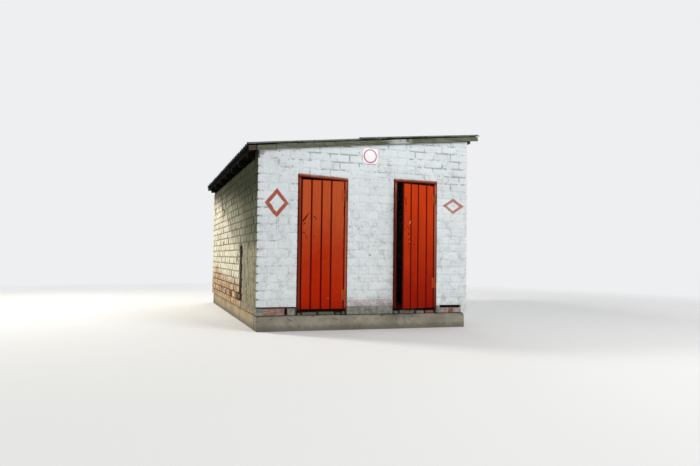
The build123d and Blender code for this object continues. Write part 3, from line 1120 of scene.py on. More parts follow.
    def piece(self, name: str, *materials: Material, body: Body = Body.BUILDING, slot: str,
              stands_for: Sequence[str] = (), crease: float = 40.0) -> None:
        """Turns the shape into a piece of the building.

        Args:
            name: The piece's name.
            materials: Its materials, in the order of the faces' numbers.
            body: The body that it rides on.
            slot: The record's material slot; not used.
            stands_for: The CAD nodes that it replaces.
            crease: Edges that turn by more than this many degrees stay sharp.
        """
        mesh = bpy.data.meshes.new(name)
        low, high = cad_box
        for vert in self.bm.verts:
            vert.co = Vector(max(a, min(b, c)) for a, b, c in zip(low, high, vert.co))
        for face in self.bm.faces:
            face.smooth = True
        self.bm.to_mesh(mesh)
        self.bm.free()
        mesh.set_sharp_from_angle(angle=math.radians(crease))
        for material in materials:
            mesh.materials.append(material)
        made = bpy.data.objects.new(name, mesh)
        bpy.context.scene.collection.objects.link(made)
        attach(made, body.value)
        if stands_for:
            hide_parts(*stands_for)
        log.info("%s: %d faces", name, len(mesh.polygons))


class Plan:
    """Places that the pieces share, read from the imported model, in metres."""

    left, front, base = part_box("front_pier_left")[0]
    right, _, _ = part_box("front_pier_right")[1]
    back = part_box("back_wall")[1].y
    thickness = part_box("front_pier_left")[1].y - front
    pitch = math.radians(6.0)
    slope = math.tan(pitch)
    low_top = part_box("front_pier_right")[1].z - (right - left) * slope
    course = 0.103
    first_bed = base + course
    downhill = Vector((-math.cos(pitch), 0, -math.sin(pitch)))

    @classmethod
    def corner(cls, side: Side) -> Vector:
        """Foot of a wall at its left end, seen from outside.

        Args:
            side: The wall.

        Returns:
            The point.
        """
        reach = side.outward
        return Vector((cls.left if reach.x < 0 or reach.y < 0 else cls.right,
                       cls.front if reach.x > 0 or reach.y < 0 else cls.back, 0))

    @classmethod
    def behind(cls, side: Side, point: Vector) -> float:
        """How far a point lies behind a wall's outer face."""
        return (cls.corner(side) - point).dot(side.outward)

    @classmethod
    def along(cls, side: Side, point: Vector) -> float:
        """How far a point lies along a wall, from its left end seen from outside."""
        return (point - cls.corner(side)).dot(side.along)


# Brickwork


@dataclass(frozen=True)
class Opening:
    """A doorway: its two sides along the wall and the heights of its head at them."""

    start: float
    end: float
    head_start: float
    head_end: float

    def head(self, run: float) -> float:
        """Height of the head at a place along the wall."""
        share = (run - self.start) / (self.end - self.start)
        return self.head_start + share * (self.head_end - self.head_start)


@dataclass(frozen=True)
class Area:
    """Part of a wall's face, by its ends along the wall and its heights."""

    start: float
    end: float
    low: float
    high: float

    def share(self, run: float, z: float, fade: float) -> float:
        """1 well inside the area and 0 outside, with a soft edge."""
        inside = min(run - self.start, self.end - run, z - self.low, self.high - z)
        return smooth(inside, -fade, fade)


@dataclass(frozen=True)
class Recess(Area):
    """A place where bricks are missing or broken back, and how deep it is."""

    depth: float


@dataclass(frozen=True)
class Patch(Area):
    """A place where the limewash has gone, or where cement is smeared on, and how much."""

    raw: float = 0.0
    cement: float = 0.0
    fade: float = 0.03


@dataclass(frozen=True)
class PlinthStone:
    """A brick or stone of the lowest course, which was laid by eye."""

    start: float
    end: float
    top: float
    raw: float
    cement: float


@dataclass(frozen=True)
class WallWear:
    """How one wall has aged: its joints' depth, the bare zone, its patches and its holes."""

    bare_line: tuple[Span, ...]
    bare_fade: float
    joint: float
    low_joint: float = 0.009
    corner: float = 0.004
    patches: tuple[Patch, ...] = ()
    recesses: tuple[Recess, ...] = ()
    plinth: tuple[PlinthStone, ...] = ()

    def line(self, run: float) -> float:
        """Height under which the bricks are bare.

        Args:
            run: Place along the wall.

        Returns:
            The height.
        """
        for (run0, z0), (run1, z1) in zip(self.bare_line, self.bare_line[1:]):
            if run <= run1:
                return z0 + (z1 - z0) * (run - run0) / (run1 - run0)
        return self.bare_line[-1][1]

    def worn(self, kind: str, run: float, z: float) -> float:
        """How worn the wall is at a place.

        Args:
            kind: "raw" for limewash that is gone, "cement" for cement smeared over it.
            run: Place along the wall.
            z: Height.

        Returns:
            0 for none and 1 where it is complete.
        """
        if z <= Plan.first_bed - 0.010:
            for stone in self.plinth:
                if stone.start - 0.01 < run < stone.end + 0.01:
                    return getattr(stone, kind)
        shown = smooth(self.line(run) - z, -self.bare_fade, self.bare_fade) if kind == "raw" else 0.0
        patched = [getattr(patch, kind) * patch.share(run, z, patch.fade) for patch in self.patches]
        return max(shown, *patched, 0.0)


@dataclass
class BrickWall:
    """One wall in running bond: bricks of two leaves in a mortar core, both real geometry."""

    side: Side
    nodes: tuple[str, ...]
    length: float
    wears: dict[Side, WallWear]
    brick_skins: dict[Side, Material]
    joint_skins: dict[Side, Material]
    openings: tuple[Opening, ...]
    top_under: float
    seed: int
    shake: float = 0.0016
    proud: float = 1.0
    rounding: float = 0.0045
    brick: float = 0.250
    joint: float = 0.015
    leaf: float = 0.120
    rim: float = 0.013
    gap: float = 0.006
    collar: float = 0.010
    shortest: float = 0.07
    most: int = 40
    cell: float = 0.09
    notch_cuts: Span = (0.012, 0.032)

    def __post_init__(self) -> None:
        """Finds the foot of the wall at its left end, its own wear and whether it reaches the corners."""
        self.origin = Plan.corner(self.side)
        self.wear = self.wears[self.side]
        self.reaches = self.side in (Side.FRONT, Side.BACK)
        self.chance = random.Random(self.seed)

    def build(self) -> None:
        """Builds the bricks and the joints between them."""
        self.bricks()
        self.core()

    def point(self, run: float, depth: float, z: float) -> Vector:
        """Point at a run along the wall, a depth behind its face and a height."""
        return self.origin + self.side.along * run - self.side.outward * depth + UP * z

    def run_of(self, point: Vector) -> float:
        """Run of a point along the wall."""
        return Plan.along(self.side, point)

    def depth_of(self, point: Vector) -> float:
        """Depth of a point behind the wall's face."""
        return Plan.behind(self.side, point)

    def top(self, x: float) -> float:
        """Height of the wall's sloping top at x."""
        return Plan.low_top + (x - Plan.left) * Plan.slope - self.top_under

    def top_at(self, run: float) -> float:
        """Height of the wall's top at a run along it."""
        return self.top(self.point(run, 0, 0).x)

    def stretches(self, start: float, end: float, low: float, high: float) -> list[tuple[float, float, bool]]:
        """Lengths of one course that the doorways leave.

        Args:
            start: Where the course starts.
            end: Where it ends.
            low: Height of the bricks' undersides.
            high: Height of their tops.

        Returns:
            Start and end of each length, and whether it lies over a doorway.
        """
        made = [(start, end, False)]
        for hole in self.openings:
            if low > max(hole.head_start, hole.head_end):
                continue
            near, far = hole.start - self.gap, hole.end + self.gap
            cut = []
            for a, b, over in made:
                if b <= near or a >= far:
                    cut.append((a, b, over))
                    continue
                cut.append((a, near, over))
                if high - 0.02 >= min(hole.head_start, hole.head_end):
                    cut.append((near + self.joint / 2, far - self.joint / 2, True))
                cut.append((far, b, over))
            made = cut
        return made

    def spans(self, start: float, low: float, high: float) -> list[tuple[float, float, bool]]:
        """Bricks of one course, clear of the doorways.

        Args:
            start: How far from the wall's ends the course starts and stops.
            low: Height of the bricks' undersides.
            high: Height of their tops.

        Returns:
            Start and end of each brick, and whether it lies over a doorway.
        """
        pitch = self.brick + self.joint
        made = []
        for a, b, over in self.stretches(start, self.length - start, low, high):
            if b - a < 0.03:
                continue
            number = math.ceil((a - start) / pitch - 0.001)
            places = [start + pitch * n for n in range(number, number + self.most)]
            near, far = a + self.shortest, b - self.shortest
            edges = [a, *(place for place in places if near < place < far), b + self.joint]
            made += [(e0, e1 - self.joint, over) for e0, e1 in zip(edges, edges[1:])]
        return made

    def lay_brick(self, shape: Shape, span: Span, depth: Span, low: float, high: float, over: bool) -> None:
        """Adds one brick, cut to the roof and to the head of a doorway under it.

        Args:
            shape: The mesh that it is added to.
            span: Its ends along the wall.
            depth: Its front and back behind the wall's face.
            low: Its underside.
            high: Its top.
            over: Whether it lies over a doorway.
        """
        if max(self.top(self.point(run, depth[0], 0).x) for run in span) < low + 0.025:
            return
        ends = self.point(span[0], depth[0], low), self.point(span[1], depth[1], high)
        out = noise.noise(Vector((span[0] * 1.7, low * 1.7, self.seed))) * 0.0022
        out = (out + self.chance.uniform(-1, 1) * 0.0014) * self.proud
        for vert in shape.block([min(pair) for pair in zip(*ends)], [max(pair) for pair in zip(*ends)]):
            run = self.run_of(vert.co)
            is_front = self.depth_of(vert.co) < sum(depth) / 2
            jitter = Vector([self.chance.uniform(-self.shake, self.shake) for _ in range(3)])
            vert.co += jitter + self.side.outward * (out if is_front else 0.0)
            vert.co.z = min(vert.co.z, max(low + 0.012, self.top(vert.co.x) - 0.004))
            for hole in (self.openings if over else ()):
                if hole.start - 0.02 < run < hole.end + 0.02:
                    vert.co.z = max(vert.co.z, hole.head(run) + 0.003)

    def outer_parts(self, span: Span, low: float, high: float) -> list[tuple[Span, Span, float]]:
        """Splits a brick of the outer leaf where a recess crosses it.

        Args:
            span: The brick's ends.
            low: Its underside.
            high: Its top.

        Returns:
            Ends, depths and top of each part that is left.
        """
        parts = [(*span, 0.0, high)]
        for recess in self.wear.recesses:
            shared = min(high, recess.high) - max(low, recess.low)
            if shared <= 0 or (shared < 0.3 * (high - low) and recess.low < high - 0.04):
                continue
            split = []
            for a, b, front, top in parts:
                if b <= recess.start or a >= recess.end:
                    split.append((a, b, front, top))
                    continue
                if a < recess.start - 0.02:
                    split.append((a, recess.start, front, top))
                inner = (max(a, recess.start), min(b, recess.end))
                if recess.low > low + 0.04:
                    split.append((*inner, front, recess.low))
                elif recess.depth < 0.1:
                    split.append((*inner, recess.depth, top))
                if b > recess.end + 0.02:
                    split.append((recess.end, b, front, top))
            parts = split
        return [((a, b), (front, self.leaf), top) for a, b, front, top in parts if b - a > 0.02]

    def bricks(self) -> None:
        """Lays all the bricks, in the piece that stands for the wall's nodes."""
        shape = Shape()
        inner = (self.leaf + self.collar, Plan.thickness)
        highest = max(self.top(Plan.left), self.top(Plan.right))
        number = 0
        while Plan.base + number * Plan.course < highest:
            low = Plan.base + number * Plan.course
            high = low + Plan.course - self.joint
            reaches = (number % 2 == 0) == self.reaches
            if number or not self.wear.plinth:
                for a, b, over in self.spans(0.0 if reaches else self.leaf + self.joint, low, high):
                    for span, depth, top in self.outer_parts((a, b), low, high):
                        self.lay_brick(shape, span, depth, low, top, over)
            for a, b, over in self.spans(inner[0] if reaches else inner[1] + self.joint, low, high):
                self.lay_brick(shape, (a, b), inner, low, high, over)
            number += 1
        for stone in self.wear.plinth:
            self.lay_brick(shape, (stone.start, stone.end), (0.0, self.leaf), Plan.base, stone.top, False)
        shape.bevel(self.rounding, edges=shape.bm.edges[:])
        shown = [face for face in shape.bm.faces if face.calc_area() > 0.003 and abs(face.normal.z) < 0.5]
        shape.rim_faces(shown, self.rim)
        shape.tone_islands(self.seed)
        self.store_wear(shape)
        self.mark_ends(shape)
        self.skinned(shape, "bricks", self.brick_skins, self.nodes, 60.0)

    def mark_ends(self, shape: Shape) -> None:
        """Stores the layer "ends" on the corners of the faces beside the upright joints.

        Args:
            shape: The bricks.
        """
        ends = shape.bm.loops.layers.float.new("ends")
        rim = shape.bm.verts.layers.float["rim"]
        for group in shape.islands():
            runs = [self.run_of(vert.co) for vert in group]
            first, last = min(runs) + self.rim, max(runs) - self.rim
            for face in {face for vert in group for face in vert.link_faces}:
                if not first < self.run_of(face.calc_center_median()) < last:
                    for loop in face.loops:
                        loop[ends] = loop.vert[rim]

    def store_wear(self, shape: Shape) -> None:
        """Stores the layers "raw" and "cement"; the inner leaf keeps its limewash.

        Args:
            shape: The bricks or the joints.
        """
        deepest = self.leaf + 0.005

        def worn(vert: Vert, kind: str, inside: float) -> float:
            """Wear of one kind at a vertex, by the outer face that it is nearest to.

            Args:
                vert: The vertex.
                kind: The kind of wear.
                inside: The wear of the inner leaf.

            Returns:
                The wear.
            """
            side = min(Side, key=lambda side: Plan.behind(side, vert.co) - 0.001 * (side is self.side))
            if self.depth_of(vert.co) > deepest and Plan.behind(side, vert.co) > 0.02:
                return inside
            return self.wears[side].worn(kind, Plan.along(side, vert.co), vert.co.z)

        shape.layer("raw", lambda vert: worn(vert, "raw", 0.1))
        shape.layer("cement", lambda vert: worn(vert, "cement", 0.0))

    def skin_side(self, face: bmesh.types.BMFace) -> Side:
        """Finds the side whose skin a face takes; faces towards the room are plain like the back.

        Args:
            face: The face.

        Returns:
            The side.
        """
        if abs(face.normal.z) > 0.75:
            return self.side
        if face.normal.dot(self.side.outward) < -0.5:
            return Side.BACK
        middle = face.calc_center_median()
        near = [side for side in Side if side is self.side or Plan.behind(side, middle) < 0.02]
        return max(near, key=lambda side: face.normal.dot(side.outward))

    def skinned(self, shape: Shape, part: str, skins: dict[Side, Material], nodes: Sequence[str],
                crease: float) -> None:
        """Finishes a piece whose faces take the skin of the side that they look to.

        Args:
            shape: The shape.
            part: The last part of the piece's name.
            skins: The skin of each side.
            nodes: The CAD nodes that it replaces.
            crease: Edges that turn by more than this many degrees stay sharp.
        """
        sides = list(Side)
        for face in shape.bm.faces:
            face.material_index = sides.index(self.skin_side(face))
        shape.piece(f"{self.side.name.lower()}_wall_{part}", *[skins[side] for side in sides],
                    slot="whitewashed_brick", stands_for=nodes, crease=crease)

    def joint_depth(self, point: Vector, normal: Vector) -> float:
        """How far the joints lie behind the bricks' faces.

        Args:
            point: A point of the core.
            normal: The normal of its face.

        Returns:
            The depth.
        """
        run = self.run_of(point)
        if abs(normal.z) > 0.7:
            return 0.004 if normal.z > 0 else 0.0
        uneven = rough(point, 11.0)
        is_end = abs(normal.dot(self.side.along)) > 0.9
        if is_end and not self.reaches:
            return -0.03 if not 0.3 < run < self.length - 0.3 else 0.003
        if normal.dot(self.side.outward) < -0.9:
            return 0.003 + uneven * 0.003
        if is_end and 0.02 < run < self.length - 0.02:
            return 0.003
        from_corner = self.depth_of(point) if is_end else min(run, self.length - run)
        notch = self.wear.corner * smooth(from_corner, 0.034, 0.004) * (0.4 + uneven) if self.reaches else 0.0
        bare, smeared = (self.wear.worn(kind, run, point.z) for kind in ("raw", "cement"))
        open_joint = self.wear.joint * (0.45 + uneven * 1.1) + bare * self.wear.low_joint
        return open_joint * (1.0 - 0.85 * smeared) + notch

    def outline(self, shape: Shape) -> None:
        """Draws the wall's face with its doorways, as convex faces side by side.

        Args:
            shape: The empty core.
        """
        start = 0.0 if self.reaches else Plan.thickness
        columns: list[tuple[float, float, Opening | None]] = [(start, self.length - start, None)]
        heads = {}
        for hole in self.openings:
            a, b, _ = columns.pop()
            left, right = hole.start - self.gap, hole.end + self.gap
            columns += [(a, left, None), (left, right, hole), (right, b, None)]
            heads |= {left: hole.head_start, right: hole.head_end}
        corners: dict[Span, Vert] = {}
        for a, b, hole in columns:
            sides = [(a, heads[a] if hole else Plan.base), (b, heads[b] if hole else Plan.base)]
            sides += [(b, heads[b])] if not hole and b in heads else []
            sides += [(b, self.top_at(b)), (a, self.top_at(a))]
            sides += [(a, heads[a])] if not hole and a in heads else []
            for place in sides:
                if place not in corners:
                    corners[place] = shape.bm.verts.new(self.point(place[0], 0, place[1]))
            shape.bm.faces.new([corners[place] for place in sides])

    def push(self, shape: Shape, faces: Sequence[bmesh.types.BMFace], depth: float) -> list[Vert]:
        """Draws faces into the wall.

        Args:
            shape: The core.
            faces: Some of its faces.
            depth: How far they go in.

        Returns:
            The vertices at their new places.
        """
        raised = bmesh.ops.extrude_face_region(shape.bm, geom=faces)["geom"]
        moved = [item for item in raised if isinstance(item, Vert)]
        bmesh.ops.translate(shape.bm, verts=moved, vec=self.side.outward * -depth)
        return moved

    def core(self) -> None:
        """Makes the mortar between the bricks."""
        shape = Shape()
        self.outline(shape)
        for vert in self.push(shape, shape.bm.faces[:], Plan.thickness):
            vert.co.z = min(vert.co.z, self.top(vert.co.x))
        bmesh.ops.recalc_face_normals(shape.bm, faces=shape.bm.faces[:])
        along, outward = self.side.along, self.side.outward
        first = self.origin.dot(along)
        recesses = self.wear.recesses
        runs = [first + edge for recess in recesses for edge in (recess.start, recess.end)]
        depths = []
        if self.reaches:
            runs += [first + cut for near in self.notch_cuts for cut in (near, self.length - near)]
            depths = [self.origin.dot(outward) - cut for cut in self.notch_cuts]
        shape.slice(along, self.cell, runs)
        shape.slice(UP, self.cell, [edge for recess in recesses for edge in (recess.low, recess.high)])
        shape.slice(outward, 0, depths)
        # The layer "hollow" marks where the joints get painted shade: fully in deep or narrow recesses, less
        # in shallow ones.
        deep = {}
        for recess in recesses:
            dark = 1.0 if recess.depth > 0.046 or recess.high - recess.low < 0.05 else 0.3
            deep |= dict.fromkeys(self.sink(shape, recess), dark)
        shape.bm.normal_update()
        shape.recede(self.joint_depth)
        shape.layer("hollow", lambda vert: deep.get(vert, 0.0))
        self.store_wear(shape)
        self.skinned(shape, "joints", self.joint_skins, (), 40.0)

    def sink(self, shape: Shape, recess: Recess) -> list[Vert]:
        """Pushes a recess into the core.

        Args:
            shape: The core.
            recess: The place and its depth.

        Returns:
            The vertices at its bottom.
        """
        chosen = []
        for face in shape.bm.faces:
            middle = face.calc_center_median()
            if (face.normal.dot(self.side.outward) > 0.9 and recess.start < self.run_of(middle) < recess.end
                    and recess.low < middle.z < recess.high):
                chosen.append(face)
        if not chosen:
            return []
        moved = self.push(shape, chosen, recess.depth + 0.012)
        left = [face for face in chosen if face.is_valid]
        bmesh.ops.delete(shape.bm, geom=left, context="FACES_KEEP_BOUNDARY")
        return moved


@dataclass
class Walls:
    """The four walls and what each has been through."""

    mark_left: BrushMark = BrushMark(-1.205, 1.598, 0.122, 0.147, 0.046)
    mark_right: BrushMark = BrushMark(1.232, 1.642, 0.130, 0.084, 0.036, 0.80)
    drips: tuple[Triple, ...] = ((-1.209, 1.46, 1.23), (-1.184, 1.46, 1.30))
    pits: tuple[Triple, ...] = ((-0.198, 1.619, 0.012), (-0.248, 1.320, 0.013), (-0.084, 1.324, 0.010),
                                (0.031, 0.963, 0.017), (-1.185, 2.240, 0.012), (-1.150, 2.192, 0.010),
                                (-1.020, 2.063, 0.013))
    niche_start: float = 1.140
    niche_width: float = 0.250
    niche_top: float = 1.0755
    roof_gap: float = 0.0804

    def build(self) -> None:
        """Builds the walls in turn."""
        self.width = Plan.right - Plan.left
        self.depth = Plan.back - Plan.front
        skins = self.skins()
        wears = {Side.FRONT: self.front_wear(), Side.BACK: self.plain_wear(0.40), Side.LEFT: self.left_wear(),
                 Side.RIGHT: self.plain_wear(0.44)}
        front = ("front_pier_left", "front_pier_middle", "front_pier_right", "wall_over_left_door",
                 "wall_over_right_door")
        BrickWall(Side.FRONT, front, self.width, wears, *skins, self.doorways(), 0.0, 3).build()
        BrickWall(Side.BACK, ("back_wall",), self.width, wears, *skins, (), 0.0, 11).build()
        BrickWall(Side.RIGHT, ("right_wall",), self.depth, wears, *skins, (), self.roof_gap, 17).build()
        BrickWall(Side.LEFT, ("left_wall",), self.depth, wears, *skins, (), self.roof_gap, 23,
                  shake=0.0038, proud=2.0, rounding=0.006).build()

    def skins(self) -> tuple[dict[Side, Material], dict[Side, Material]]:
        """Makes the finishes of the bricks and of the joints.

        Returns:
            The bricks' and the joints' finish for each side.
        """
        # The front keeps the cool blue-grey of the default limewash, which is painted sky shade.
        front = Limewash(fresh=(0.735, 0.785, 0.80), cracked=0.9, streaking=0.34, edge_grey=0.26,
                         marks=(self.mark_left, self.mark_right), drips=self.drips, pits=self.pits)
        plain = Limewash(soiling=0.5, streaking=0.3)
        # The side wall's warm cream limewash is partly yellowed with age and partly painted sunlight.
        side = Limewash(fresh=(0.76, 0.70, 0.56), dull=(0.42, 0.39, 0.28), soiled=(0.25, 0.20, 0.12),
                        bright=(0.86, 0.80, 0.66), tint=(0.62, 0.55, 0.41), soiling=0.75, streaking=0.40,
                        painted_shade_from=1.25)
        dark_side = Limewash(fresh=(0.34, 0.325, 0.235), dull=(0.18, 0.17, 0.12), soiled=(0.10, 0.08, 0.05),
                             bright=(0.45, 0.42, 0.33), tint=(0.26, 0.24, 0.17), soiling=0.8, painted_shade_from=1.25)
        # Strong streaks on the side's cement: partly runs, partly painted sunlight.
        smear = Smear((0.36, 0.325, 0.225), (0.14, 0.125, 0.078), 0.95)
        niche = Plan.front + self.niche_start + self.niche_width / 2 - 0.005
        plain_bricks = BrickFinish("limewash_plain", plain).make()
        plain_joints = JointFinish("joints_plain", plain, threshold=0.52).make()
        # The side's bright tan clay is partly its own colour and partly painted sunlight.
        side_bricks = BrickFinish("limewash_side", side, (0.60, 0.38, 0.21), (0.92, 0.70, 0.46),
                                  (0.30, 0.20, 0.115), smear, stained_and_shaded=0.90, flecked=0.45, mottled=0.85,
                                  pitted=0.85, sheen=0.03, niche_shade_span=(niche - 0.18, niche + 0.16)).make()
        side_joints = JointFinish("joints_side", dark_side, smear, opened=(0.12, 0.105, 0.07),
                                  bare=(0.15, 0.11, 0.065), hollow=(0.040, 0.030, 0.014), openness=0.85,
                                  threshold=0.52).make()
        front_bricks = BrickFinish("limewash_front", front, (0.20, 0.062, 0.045), (0.34, 0.22, 0.185),
                                   (0.16, 0.125, 0.10)).make()
        front_joints = JointFinish("joints_front", front, opened=(0.21, 0.215, 0.21), bare=(0.36, 0.32, 0.29),
                                   openness=0.62, threshold=0.592, blur=0.035).make()
        bricks = {Side.FRONT: front_bricks, Side.LEFT: side_bricks}
        joints = {Side.FRONT: front_joints, Side.LEFT: side_joints}
        return ({side: bricks.get(side, plain_bricks) for side in Side},
                {side: joints.get(side, plain_joints) for side in Side})

    def doorways(self) -> tuple[Opening, ...]:
        """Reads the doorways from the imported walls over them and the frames' heads.

        Returns:
            The left and the right doorway.
        """
        made = []
        for name in ("left", "right"):
            low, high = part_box(f"wall_over_{name}_door")
            head_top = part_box(f"{name}_door_head")[1].z
            made.append(Opening(low.x - Plan.left, high.x - Plan.left, head_top, low.z))
        return tuple(made)

    def plain_wear(self, line: float) -> WallWear:
        """Wear of a wall that the photograph doesn't show, which is bare under a line."""
        return WallWear(((0.0, line), (1.6, line - 0.06), (3.2, line + 0.05), (5.1, line)), 0.12, joint=0.005)

    def front_wear(self) -> WallWear:
        """Wear of the front wall, whose runs are counted from the left corner.

        Returns:
            The wear.
        """
        left, right = self.doorways()
        bed = Plan.first_bed
        top = bed - 0.015
        plinth = ((0.0, 0.088, top, 0.8, 0.55), (0.097, 0.362, top - 0.004, 1.0, 0.10),
                  (0.398, left.start - 0.022, top - 0.012, 1.0, 0.62),
                  (left.end + 0.008, 1.405, top, 1.0, 1.0), (1.418, 1.640, top, 1.0, 1.0),
                  (1.653, right.start - 0.008, top, 1.0, 1.0),
                  (right.end + 0.008, 2.490, top, 0.9, 0.75), (2.500, 2.610, 0.262, 0.85, 0.15),
                  (2.622, 2.700, 0.270, 1.0, 0.25), (2.708, 2.800, 0.264, 0.75, 0.10),
                  (2.810, self.width, top, 0.0, 0.0))
        patches = (Patch(1.14, 1.86, 0.25, 0.42, raw=0.64, fade=0.08),
                   Patch(0.13, 0.52, 0.26, 0.41, raw=0.26, fade=0.08),
                   Patch(2.40, 2.56, 0.20, 0.315, raw=0.45),
                   Patch(left.end, right.start, 0.19, 0.296, raw=1.0, cement=1.0, fade=0.020))
        recesses = (Recess(2.498, 2.801, 0.271, bed, 0.06), Recess(0.010, 0.509, bed - 0.014, bed, 0.022),
                    Recess(0.364, 0.396, 0.205, bed - 0.014, 0.05),
                    Recess(0.490, 0.509, 0.205, bed - 0.014, 0.05))
        return WallWear(((0.0, 0.296), (3.0, 0.296)), 0.010, 0.0032, 0.005, 0.020, patches, recesses,
                        tuple(PlinthStone(*row) for row in plinth))

    def left_wear(self) -> WallWear:
        """Wear of the left wall, whose runs are counted from the back corner.

        Returns:
            The wear.
        """

        def from_front(start: float, end: float) -> Span:
            """Turns depths behind the front corner into runs."""
            return self.depth - end, self.depth - start

        niche = from_front(self.niche_start, self.niche_start + self.niche_width)
        recesses = [Recess(*niche, Plan.first_bed, self.niche_top, 0.12),
                    Recess(*from_front(3.56, 3.62), 1.62, 2.06, 0.05)]
        broken = ((3.41, 0.386), (2.85, 0.33), (2.23, 0.334), (1.67, 0.323), (1.47, 0.33))
        for number, (depth, z) in enumerate(broken):
            course = Plan.base + math.floor((z - Plan.base) / Plan.course) * Plan.course
            half = 0.055 + 0.012 * (number % 3)
            recesses.append(Recess(*from_front(depth - half, depth + half), course - 0.004, course + 0.096,
                                   0.035 + 0.01 * (number % 2)))
        bare = ((5.02, 0.60), (4.27, 0.758), (3.17, 0.62), (2.15, 0.60), (1.5, 0.57), (1.1, 0.50),
                (0.0, 0.40))
        patches = (Patch(*from_front(-0.15, 1.13), 0.22, 1.04, cement=0.9, fade=0.16),
                   Patch(*from_front(1.35, 1.95), 0.20, 0.50, raw=1.0, fade=0.08))
        line = tuple((self.depth - depth, z) for depth, z in bare)
        return WallWear(line, 0.20, 0.0045, 0.006, patches=patches, recesses=tuple(recesses))


# Footings, floor and thresholds


@dataclass
class Footing:
    """Concrete strips with crumbled faces and edges, and the thresholds."""

    cell: float = 0.05
    crumble: float = 0.007
    round_over: float = 0.012
    joint: float = 0.012
    reach: float = 0.12
    bed_inset: float = 0.045
    left_stones: tuple[Triple, ...] = ((0.062, 0.5, 0.030), (0.215, 0.5, 0.024), (0.225, 0.55, 0.020),
                                       (0.085, 0.3, 0.034), (0.060, 0.3, 0.016))
    right_stones: tuple[Triple, ...] = ((0.090, 0.7, 0.020), (0.235, 0.8, 0.012), (0.140, 0.75, 0.018),
                                        (0.145, 0.1, 0.024))

    def build(self) -> None:
        """Builds the strips and the thresholds and dresses the floor that stays as packed."""
        concrete = ConcreteFinish("footing_concrete", (0.40, 0.355, 0.29), (0.24, 0.21, 0.17),
                                  rubble=0.35).make()
        # The left strip's warmer, paler concrete is painted sunlight.
        sunlit_concrete = ConcreteFinish("footing_concrete_sunned", (0.46, 0.355, 0.215), (0.28, 0.21, 0.12),
                               rubble=0.35).make()
        stony = ConcreteFinish("footing_rubble", (0.34, 0.31, 0.25), (0.21, 0.19, 0.145), rubble=0.75).make()
        for side, finish in (("front", stony), ("back", concrete), ("left", sunlit_concrete), ("right", concrete)):
            node = f"foundation_{side}"
            shape = Shape.of_node(node)
            shape.slice_all(self.cell)
            shape.bevel(0.006, 1, 60)
            shape.recede(self.crumbled)
            shape.piece(f"{side}_footing", finish, slot="concrete", stands_for=(node,), crease=50.0)
        floor = ConcreteFinish("floor_concrete", (0.30, 0.28, 0.24), (0.20, 0.185, 0.155), damp_top=-1.0)
        fill = ConcreteFinish("rubble_fill", (0.30, 0.26, 0.20))
        for node, finish in (("floor_slab", floor), ("floor_fill", fill)):
            frame["nodes"][node].data.materials.clear()
            frame["nodes"][node].data.materials.append(finish.make())
        finish = ClayFinish("threshold_stones").make()
        self.threshold("left", self.left_stones, finish, random.Random(7))
        self.threshold("right", self.right_stones, finish, random.Random(8))

    def crumbled(self, point: Vector, normal: Vector) -> float:
        """How far the concrete has crumbled at a place.

        Args:
            point: A point of the strip.
            normal: The normal of its face.

        Returns:
            The depth.
        """
        if normal.z < -0.5:
            return 0.0
        return self.crumble * rough(point, 9.0) + self.crumble * 0.6 * rough(point * 2.7 + Vector((5, 1, 0)))

    def threshold(self, name: str, stones: Sequence[Triple], finish: Material, chance: random.Random) -> None:
        """Builds the rough stones under a door.

        Args:
            name: Which door.
            stones: Each stone's width, kind and drop under the threshold's top.
            finish: The stones' finish.
            chance: The random numbers.
        """
        node = f"{name}_threshold"
        low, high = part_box(node)
        shape = Shape()
        # The bed behind the stones is painted near black, as shade in the gaps between them.
        bed = shape.block((low.x, low.y + self.bed_inset, low.z), (high.x, high.y, high.z - 0.004))
        blocks = [(bed, 1.0)]
        x = low.x + 0.004
        for width, kind, drop in stones:
            verts = shape.block((x, low.y + chance.uniform(0.0, 0.012), low.z + 0.002),
                                (x + width - self.joint, low.y + self.reach, high.z - drop))
            for vert in verts:
                vert.co += Vector((chance.uniform(-0.005, 0.005), chance.uniform(-0.004, 0.004),
                                   chance.uniform(-0.006, 0.0)))
                vert.co.z = max(low.z, vert.co.z)
            blocks.append((verts, kind))
            x += width
        kinds = [(middle_of(verts), kind) for verts, kind in blocks]
        shape.bevel(self.round_over, 3, edges=shape.bm.edges[:])
        shape.slice_all(0.03)
        tones = {}
        for group in shape.islands():
            middle = middle_of(group)
            tones |= dict.fromkeys(group, min(kinds, key=lambda pair: (pair[0] - middle).length)[1])
        shape.layer("tone", tones.get)
        shape.recede(lambda point, normal: 0.0 if normal.z < -0.5 else 0.010 * rough(point, 21.0))
        shape.piece(f"{name}_threshold_stones", finish, slot="concrete", stands_for=(node,), crease=60.0)


# Doors


@dataclass(frozen=True)
class Scar:
    """A scratch or blot on a door's face: its middle on the closed leaf, its size and its slope."""

    x: float
    z: float
    length: float
    width: float
    slope: float = 0.0
    pale: bool = False

    def place(self, face: float) -> Matrix:
        """Turns a ball of radius 1 into the scar.

        Args:
            face: The y of the closed leaf's face.

        Returns:
            The transform.
        """
        flat = Matrix.Diagonal((self.length / 2, 0.0007, self.width / 2, 1))
        turn = Matrix.Rotation(math.radians(self.slope), 4, "Y")
        return Matrix.Translation(Vector((self.x, face, self.z))) @ turn @ flat


@dataclass(frozen=True)
class DoorLook:
    """What differs between the two doorways."""

    boards: Material
    frame: Material
    hinge_heights: Span
    board_tones: tuple[float, ...]
    jamb_tones: Span
    hinge_tones: Span
    scars: Sequence[Scar]
    dark_edge: float
    seed: int


